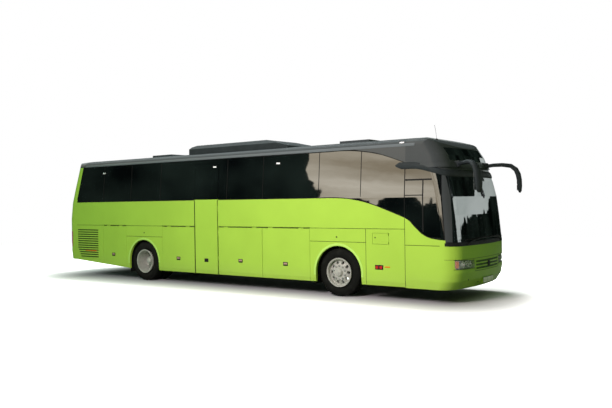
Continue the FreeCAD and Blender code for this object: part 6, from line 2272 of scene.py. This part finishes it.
@dataclass
class Cabin:
    """Passenger and driver's seats with padded cushions on frames."""

    first: float = -5.0975
    pitch: float = 0.77
    rows: int = 12
    floor: float = 1.395
    over_well: tuple[int, ...] = (5, 6)
    inner: float = 0.25
    width: float = 0.425
    driver: Point = (4.5225, -0.64, 0.9)

    def pairs(self) -> list[tuple[float, Side]]:
        """Rear end of the cushions and side of the aisle of every pair of seats.

        Returns:
            Place along the coach and side of each pair.
        """
        rows = [(index, side) for index in range(self.rows) for side in Side]
        kept = [(index, side) for index, side in rows if side is Side.LEFT or index not in self.over_well]
        return [(self.first + index * self.pitch, side) for index, side in kept]

    def cushions(self, start: float, y: float, floor: float, wide: float) -> Form:
        """Seat cushion, back cushion and headrest of one seat.

        Args:
            start: Rear end of the cushion along the coach.
            y: Middle of the seat.
            floor: Height of the floor.
            wide: Width of the seat.

        Returns:
            The three pads.
        """
        seat = Form.pillow((0.43, wide, 0.12), (start + 0.26, y, floor + 0.375), 0.012, 0.01)
        back = Form.pillow((0.09, wide - 0.01, 0.56), (0.0, 0.0, 0.28), 0.01, 0.01)
        back.turned(SEAT_RAKE, Axis.Y).moved((start + 0.045, y, floor + 0.42))
        rest = Form.pillow((0.075, wide * 0.62, 0.17), (0.0, 0.0, 0.0), 0.01, 0.012)
        rest.turned(SEAT_RAKE, Axis.Y).moved((start - 0.095, y, floor + 1.06))
        return seat.take(back, rest)

    def frames(self, start: float, side: Side) -> Form:
        """Shells, arms and legs of one pair of seats.

        Args:
            start: Rear end of the cushions.
            side: Side of the aisle.

        Returns:
            The frame of the pair.
        """
        near, far = side.value * self.inner, side.value * (self.inner + 2 * self.width + 0.02)
        low, high = sorted((near, far))
        floor = self.floor
        frame = Form.block((start + 0.02, low, floor + 0.275), (start + 0.44, high, floor + 0.325), 0.012)
        shell = Form.block((-0.03, low, 0.0), (-0.008, high, 0.7), 0.008)
        frame.take(shell.turned(SEAT_RAKE, Axis.Y).moved((start + 0.01, 0.0, floor + 0.36)))
        arm = (start + 0.38, near + 0.02, floor + 0.635)
        frame.take(Form.block((start + 0.06, near - 0.02, floor + 0.6), arm, 0.012))
        for y in (low + 0.15, high - 0.15):
            leg = (start + 0.34, y + 0.02, floor + 0.29)
            frame.take(Form.block((start + 0.1, y - 0.02, floor + 0.001), leg, 0.008))
        return frame

    def build(self, shop: Workshop) -> None:
        """Makes all seats.

        Args:
            shop: Workshop that makes the pieces.
        """
        pads, frames = Form(), Form()
        for start, side in self.pairs():
            for number in range(2):
                y = side.value * (self.inner + self.width * (number + 0.5) + 0.01)
                pads.take(self.cushions(start, y, self.floor, self.width - 0.01))
            frames.take(self.frames(start, side))
        seat = shop.piece("seat_pads", pads, [Finish.SEAT_CLOTH], "seats", ("seats",), 70.0)
        shop.piece("seat_frames", frames, [Finish.BLACK_PLASTIC], "seats")
        start = self.driver[0]
        driver = self.cushions(start + 0.03, self.driver[1], self.driver[2], 0.48)
        pad = shop.piece("driver_seat_pads", driver, [Finish.SEAT_CLOTH], "seats", (), 70.0)
        base = Form.block((start + 0.11, -0.84, 0.901), (start + 0.45, -0.44, 1.2), 0.03, 3)
        shell = Form.block((-0.035, -0.87, 0.0), (-0.01, -0.41, 0.72), 0.012)
        base.take(shell.turned(SEAT_RAKE, Axis.Y).moved((start + 0.045, 0.0, 1.28)))
        base.take(Form.block((start + 0.05, -0.87, 1.18), (start + 0.5, -0.41, 1.235), 0.015))
        shop.piece("driver_seat_base", base, [Finish.BLACK_PLASTIC], "seats")


@dataclass
class Underside:
    """Mud flaps behind and ahead of the wheels."""

    flaps: tuple[Pair, ...] = ((-3.575, 0.2), (-2.3, 0.24), (2.5, 0.24), (3.79, 0.26))

    def build(self, shop: Workshop) -> None:
        """Makes the mud flaps.

        Args:
            shop: Workshop that makes the pieces.
        """
        rubber = Form()
        for x, low in self.flaps:
            for side in Side:
                inner, outer = sorted((side.value * 0.7, side.value * 1.2))
                rubber.take(Form.block((x - 0.005, inner, low), (x + 0.005, outer, 0.46), 0.003))
        shop.piece("mud_flaps", rubber, [Finish.SEAL_RUBBER], "wheel_housings")


@dataclass(frozen=True)
class Lamp:
    """Soft square lamp that glass and metal don't mirror."""

    name: str
    place: Point
    target: Point
    size: float
    power: float
    tint: Point

    def hang(self) -> None:
        """Hangs the lamp at its place, pointed at its target."""
        data = bpy.data.lights.new(self.name, "AREA")
        data.size = self.size
        data.energy = self.power
        data.color = self.tint
        lamp = bpy.data.objects.new(self.name, data)
        lamp.location = self.place
        lamp.rotation_mode = "QUATERNION"
        lamp.visible_glossy = False
        lamp.rotation_quaternion = (Vector(self.target) - Vector(self.place)).to_track_quat("-Z", "Y")
        bpy.context.scene.collection.objects.link(lamp)


@dataclass
class Studio:
    """Camera, lamps, floor and surroundings."""

    eye: Point = (11.0453, -13.1710, 1.9986)
    yaw: float = -0.6324
    pitch: float = -0.0036
    roll: float = -0.0152
    lens: float = 40.228
    floor_radius: float = 22.0
    bounce: Colour = (0.26, 0.28, 0.24, 1.0)
    wet: Colour = (0.09, 0.1, 0.08, 1.0)
    # Colour of the painted shadow on the floor under and round the coach.
    contact: Colour = (0.3, 0.3, 0.31, 1.0)
    footprint: Pair = (5.3, 0.7)
    shadow_edge: float = 1.9
    day: Colour = (0.26, 0.34, 0.3, 1.0)
    dusk: Colour = (0.16, 0.24, 0.06, 1.0)
    far_trees: float = 0.075
    stern: float = -0.45
    stern_rise: float = 0.25
    crown_foot: float = 0.2
    tall_trees: float = -0.581
    near_swing: float = 0.1
    far_swing: float = 0.05
    trunk_swing: float = 0.35
    clear_above: float = 0.42
    nose_corner: float = 0.1
    lamps: tuple[Lamp, ...] = (
        Lamp("key_lamp", (3.7, -10.0, 6.0), (3.3, -1.2, 1.2), 3.4, 1270.0, (1.0, 0.84, 0.88)),
        Lamp("fill_lamp", (-6.5, -10.5, 6.0), (-3.5, -1.2, 1.2), 5.0, 170.0, (0.3, 1.0, 0.75)),
        Lamp("top_lamp", (-0.5, 4.0, 11.0), (0.0, -0.5, 0.0), 6.5, 2800.0, (1.0, 1.0, 1.0)),
    )

    def camera(self) -> None:
        """Sets the camera at the photograph's angle."""
        flat = math.cos(self.pitch)
        heading = Vector((math.sin(self.yaw) * flat, math.cos(self.yaw) * flat, math.sin(self.pitch)))
        right = heading.cross(Vector((0, 0, 1))).normalized()
        up = right.cross(heading)
        level = math.cos(self.roll) * right + math.sin(self.roll) * up
        top = -math.sin(self.roll) * right + math.cos(self.roll) * up
        data = bpy.data.cameras.new("camera")
        data.lens = self.lens
        data.sensor_width = 36.0
        data.clip_end = 500.0
        camera = bpy.data.objects.new("camera", data)
        turn = Matrix((level, top, -heading)).transposed().to_4x4()
        camera.matrix_world = Matrix.Translation(self.eye) @ turn
        bpy.context.scene.collection.objects.link(camera)
        bpy.context.scene.camera = camera

    def surroundings(self) -> None:
        """World that is white to the camera, with a streaky sky over dark trees in reflections."""
        world = bpy.data.worlds.new("surroundings")
        world.use_nodes = True
        bpy.context.scene.world = world
        sky = Tree(world.node_tree, "Generated")
        x, y, z = sky.axes()
        light = sky.ramp(sky.math("MULTIPLY_ADD", x, 0.5, 0.5), [(0.45, self.day), (0.8, self.dusk)])
        camera_side = sky.math("LESS_THAN", y, 0.0)
        other_side = sky.math("SUBTRACT", 1.0, camera_side)
        swing = sky.math("MULTIPLY_ADD", camera_side, self.near_swing, self.far_swing)
        ragged = sky.math("MULTIPLY", sky.math("SUBTRACT", sky.noise(22.0, 6.0), 0.5), swing)
        streaks = sky.noise(2.6, 5.0, (1.0, 1.0, 12.0))
        warm = sky.ramp(streaks, [(0.34, colour("B4A68D")), (0.66, colour("FFF6E2"))])
        cold = sky.ramp(streaks, [(0.3, colour("CFDBD7")), (0.7, colour("EFF8F5"))])
        trees = sky.ramp(sky.noise(11.0, 4.0), [(0.4, colour("050807")), (0.72, colour("27322C"))])
        rise = sky.math("ADD", z, ragged)
        astern = sky.math("MULTIPLY", sky.math("LESS_THAN", x, self.stern), other_side)
        line = sky.math("MULTIPLY", other_side, self.far_trees)
        line = sky.math("MULTIPLY_ADD", astern, self.stern_rise, line)
        open_sky = sky.math("GREATER_THAN", rise, line)
        fore = sky.math("GREATER_THAN", x, self.stern)
        crown = sky.math("MULTIPLY", sky.math("GREATER_THAN", rise, self.crown_foot), fore)
        crown = sky.math("MULTIPLY", crown, other_side)
        open_sky = sky.math("MULTIPLY", open_sky, sky.math("SUBTRACT", 1.0, crown))
        ahead = sky.math("MULTIPLY_ADD", ragged, self.trunk_swing, x)
        ahead = sky.math("GREATER_THAN", ahead, self.tall_trees)
        ahead = sky.math("MAXIMUM", ahead, other_side)
        ahead = sky.math("MAXIMUM", ahead, sky.math("GREATER_THAN", z, self.clear_above))
        corner = sky.math("MULTIPLY", camera_side, sky.math("GREATER_THAN", x, self.nose_corner))
        ahead = sky.math("MULTIPLY", ahead, sky.math("SUBTRACT", 1.0, corner))
        open_sky = sky.math("MULTIPLY", open_sky, ahead)
        mirrored = sky.mix(open_sky, trees, sky.mix(camera_side, cold, warm))
        path = sky.add("ShaderNodeLightPath")
        direct = sky.math("MAXIMUM", path.outputs["Is Camera Ray"], path.outputs["Is Transmission Ray"])
        shade = sky.mix(path.outputs["Is Glossy Ray"], light, mirrored)
        sky.link(sky.mix(direct, shade, WHITE), sky.tree.nodes["Background"].inputs["Color"])

    def distance(self, graph: Tree) -> Socket:
        """Distance from the coach's footprint over the width of the painted shadow's edge.

        Args:
            graph: Node tree of the floor.

        Returns:
            0 under the coach, 1 where the floor is white.
        """
        along, across = (
            graph.math("MAXIMUM", graph.math("SUBTRACT", graph.math("ABSOLUTE", place), half), 0.0)
            for place, half in zip(graph.axes(), self.footprint)
        )
        square = graph.math("MULTIPLY_ADD", along, along, graph.math("MULTIPLY", across, across))
        away = graph.math("DIVIDE", graph.math("SQRT", square), self.shadow_edge)
        return graph.math("MINIMUM", away, 1.0)

    def floor(self) -> None:
        """Pale floor that keeps the coach's shadow, with a painted shadow darkening its colour round the
        coach's footprint, and fades to white round it.
        """
        form = Form()
        bmesh.ops.create_circle(form.bm, cap_ends=True, segments=96, radius=self.floor_radius)
        mesh = bpy.data.meshes.new("floor")
        form.bm.to_mesh(mesh)
        form.bm.free()
        graph = Graph("floor_white")
        path = graph.add("ShaderNodeLightPath")
        pale = graph.toned(graph.noise(0.2), WHITE, (0.3, 0.84), (0.7, 0.88))
        away = self.distance(graph)
        # Painted shadow: the floor's colour darkens towards the coach's footprint, as the camera sees it.
        shadowed_floor = graph.mix(away, self.contact, pale)
        unseen = graph.mix(path.outputs["Is Glossy Ray"], self.bounce, self.wet)
        graph.base(graph.mix(path.outputs["Is Camera Ray"], unseen, shadowed_floor))
        graph.constants(Roughness=0.9, Specular_IOR_Level=0.1)
        glow = graph.add("ShaderNodeEmission")
        graph.link(graph.math("POWER", away, 2.5), glow.inputs["Strength"])
        gate = graph.add("ShaderNodeMixShader")
        both = graph.add("ShaderNodeAddShader")
        graph.link(graph.shader.outputs["BSDF"], both.inputs[0])
        graph.link(glow.outputs["Emission"], both.inputs[1])
        graph.link(path.outputs["Is Camera Ray"], gate.inputs["Fac"])
        graph.link(graph.shader.outputs["BSDF"], gate.inputs[1])
        graph.link(both.outputs["Shader"], gate.inputs[2])
        graph.link(gate.outputs["Shader"], graph.tree.nodes["Material Output"].inputs["Surface"])
        mesh.materials.append(graph.material)
        floor = bpy.data.objects.new("floor", mesh)
        floor.location = (0.0, 0.0, -0.001)
        bpy.context.scene.collection.objects.link(floor)

    def build(self) -> None:
        """Makes the whole studio."""
        bpy.context.scene.view_settings.view_transform = "Standard"
        self.camera()
        self.surroundings()
        self.floor()
        for lamp in self.lamps:
            lamp.hang()


def main() -> None:
    """Builds the whole scene in order."""
    logging.basicConfig(level=logging.INFO, format="%(name)s %(message)s")
    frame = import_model()
    shop = Workshop(frame)
    Studio().build()
    Coachwork().dress(shop)
    kits = (Tyres, WheelTrim, SideFittings, WindowTrim, FrontEnd, Mirrors, RearEnd, RoofKit, Cabin, Underside)
    for kit in kits:
        kit().build(shop)


if __name__ == "__main__":
    main()
